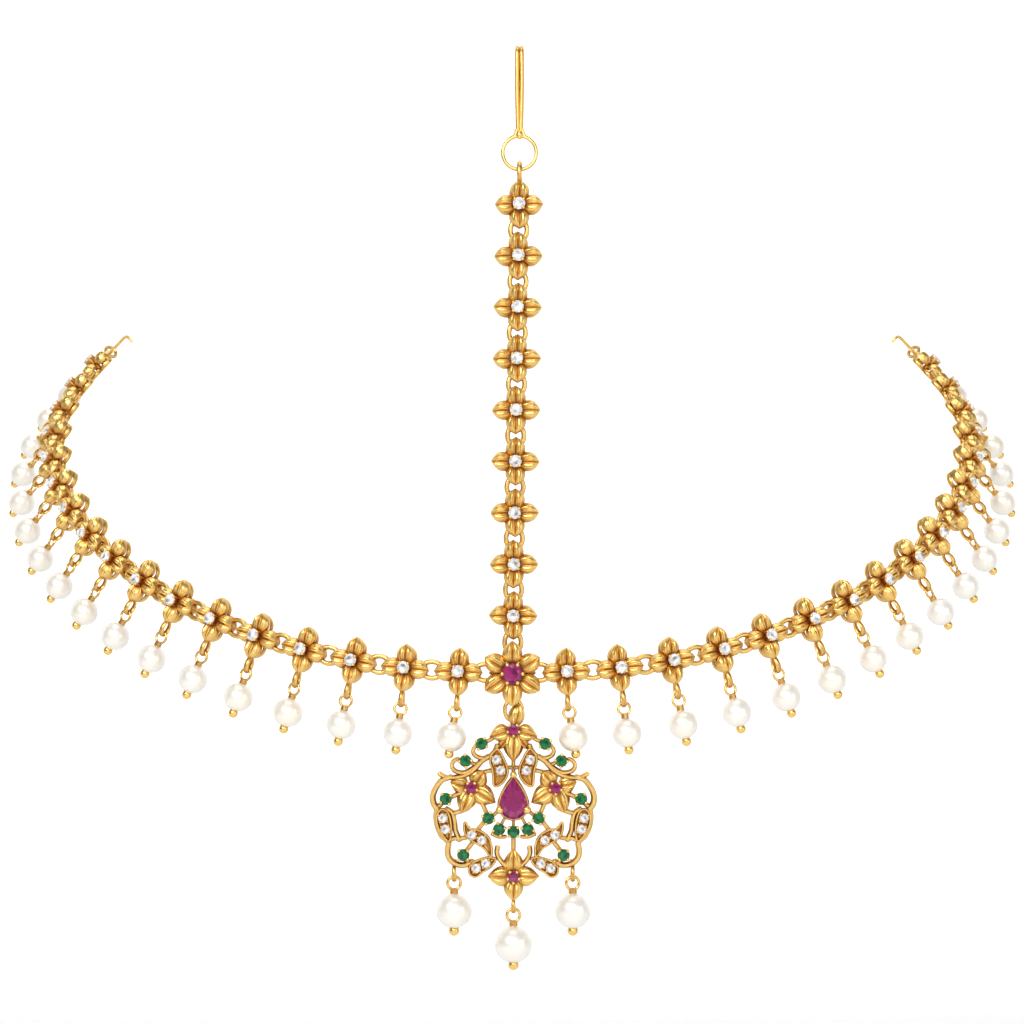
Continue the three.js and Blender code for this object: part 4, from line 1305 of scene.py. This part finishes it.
def make_sweep():
    """The floor, the rounded corner and the wall in one sheet."""
    mesh = bpy.data.meshes.new("stage_sweep")
    floor, wall, bend = SWEEP["floor"], SWEEP["wall"], SWEEP["bend"]
    line = [(SWEEP["front"], floor)]
    for angle in np.linspace(0, math.pi / 2, 24):
        line.append((wall - bend + bend * math.sin(angle), floor + bend - bend * math.cos(angle)))
    line.append((wall, SWEEP["top"]))
    points = [(x, y, z) for y, z in line for x in (-SWEEP["half_width"], SWEEP["half_width"])]
    faces = [(2 * i, 2 * i + 1, 2 * i + 3, 2 * i + 2) for i in range(len(line) - 1)]
    mesh.from_pydata(points, [], faces)
    mesh.shade_smooth()
    mesh.materials.append(stage_paper())
    sweep = add_object("stage_sweep", mesh)


def make_lights():
    """Soft area lights turned to the jewel, and a weak white world."""
    for name, place, size, power in LIGHTS:
        data = bpy.data.lights.new(name, "AREA")
        data.energy = power
        data.size = size
        lamp = add_object(name, data)
        lamp.location = place
        direction = np.array(LIGHT_TARGET) - np.array(place)
        lamp.rotation_euler = Vector(direction).to_track_quat("-Z", "Y").to_euler()
    world = bpy.data.worlds.new("studio")
    world.use_nodes = True
    set_inputs(world.node_tree.nodes["Background"], {"Color": (1, 1, 1, 1), "Strength": WORLD_STRENGTH})
    bpy.context.scene.world = world


def make_camera():
    """The photo's camera, level and straight from the front."""
    data = bpy.data.cameras.new("photo_camera")
    data.lens = CAMERA_LENS
    data.sensor_width = 36
    data.clip_start = 0.01
    camera = add_object("photo_camera", data)
    camera.location = CAMERA_PLACE
    camera.rotation_euler = (math.pi / 2, 0, 0)
    bpy.context.scene.camera = camera
    bpy.context.scene.view_settings.view_transform = "Standard"


class TIKKA_OT_stage(bpy.types.Operator):
    """Add the floor, the backdrop, the lights and the camera"""

    bl_idname = "tikka.stage"
    bl_label = "Stage"

    def execute(self, context):
        make_sweep()
        make_lights()
        make_camera()
        return {"FINISHED"}


class TIKKA_OT_hair_hook(bpy.types.Operator):
    """Add the doubled wire hook and its ring"""

    bl_idname = "tikka.hair_hook"
    bl_label = "Hair Hook"

    def execute(self, context):
        make_hair_hook()
        return {"FINISHED"}


class TIKKA_OT_parting_chain(bpy.types.Operator):
    """Add the flower links of the parting chain with their stones"""

    bl_idname = "tikka.parting_chain"
    bl_label = "Parting Chain"

    def execute(self, context):
        make_parting_chain()
        return {"FINISHED"}


class TIKKA_OT_centre_flower(bpy.types.Operator):
    """Add the six-petal flower with its ruby"""

    bl_idname = "tikka.centre_flower"
    bl_label = "Centre Flower"

    def execute(self, context):
        make_centre_flower()
        return {"FINISHED"}


class TIKKA_OT_strands(bpy.types.Operator):
    """Add both strands of flower links with their stones"""

    bl_idname = "tikka.strands"
    bl_label = "Side Strands"

    def execute(self, context):
        make_strands()
        return {"FINISHED"}


class TIKKA_OT_small_drops(bpy.types.Operator):
    """Add the pearl drops of both strands"""

    bl_idname = "tikka.small_drops"
    bl_label = "Pearl Drops"

    def execute(self, context):
        make_small_drops()
        return {"FINISHED"}


class TIKKA_OT_end_hooks(bpy.types.Operator):
    """Add the hooks at the strands' ends"""

    bl_idname = "tikka.end_hooks"
    bl_label = "End Hooks"

    def execute(self, context):
        make_end_hooks()
        return {"FINISHED"}


class TIKKA_OT_pendant(bpy.types.Operator):
    """Add the pierced pendant, its ring and its stones"""

    bl_idname = "tikka.pendant"
    bl_label = "Pendant"

    def execute(self, context):
        make_pendant()
        return {"FINISHED"}


class TIKKA_OT_pendant_drops(bpy.types.Operator):
    """Add the pendant's three pearl drops"""

    bl_idname = "tikka.pendant_drops"
    bl_label = "Pendant Drops"

    def execute(self, context):
        make_pendant_drops()
        return {"FINISHED"}


OPERATORS = [
    TIKKA_OT_stage,
    TIKKA_OT_hair_hook,
    TIKKA_OT_parting_chain,
    TIKKA_OT_centre_flower,
    TIKKA_OT_strands,
    TIKKA_OT_small_drops,
    TIKKA_OT_end_hooks,
    TIKKA_OT_pendant,
    TIKKA_OT_pendant_drops,
]


class TIKKA_PT_pieces(bpy.types.Panel):
    """Sizes, colours and the pieces of the jewel"""

    bl_idname = "TIKKA_PT_pieces"
    bl_label = "Maang Tikka"
    bl_space_type = "VIEW_3D"
    bl_region_type = "UI"
    bl_category = "Maang Tikka"

    def draw(self, context):
        for settings in (context.scene.tikka_sizes, context.scene.tikka_colours):
            box = self.layout.box()
            for name in settings.__annotations__:
                box.prop(settings, name)
        for each in OPERATORS:
            self.layout.operator(each.bl_idname)


CLASSES = [TikkaSizes, TikkaColours, *OPERATORS, TIKKA_PT_pieces]


def register():
    for each in CLASSES:
        bpy.utils.register_class(each)
    bpy.types.Scene.tikka_sizes = PointerProperty(type=TikkaSizes)
    bpy.types.Scene.tikka_colours = PointerProperty(type=TikkaColours)


def unregister():
    del bpy.types.Scene.tikka_colours
    del bpy.types.Scene.tikka_sizes
    for each in reversed(CLASSES):
        bpy.utils.unregister_class(each)


def main():
    register()
    for each in OPERATORS:
        group, name = each.bl_idname.split(".")
        getattr(getattr(bpy.ops, group), name)()


if __name__ == "__main__":
    main()
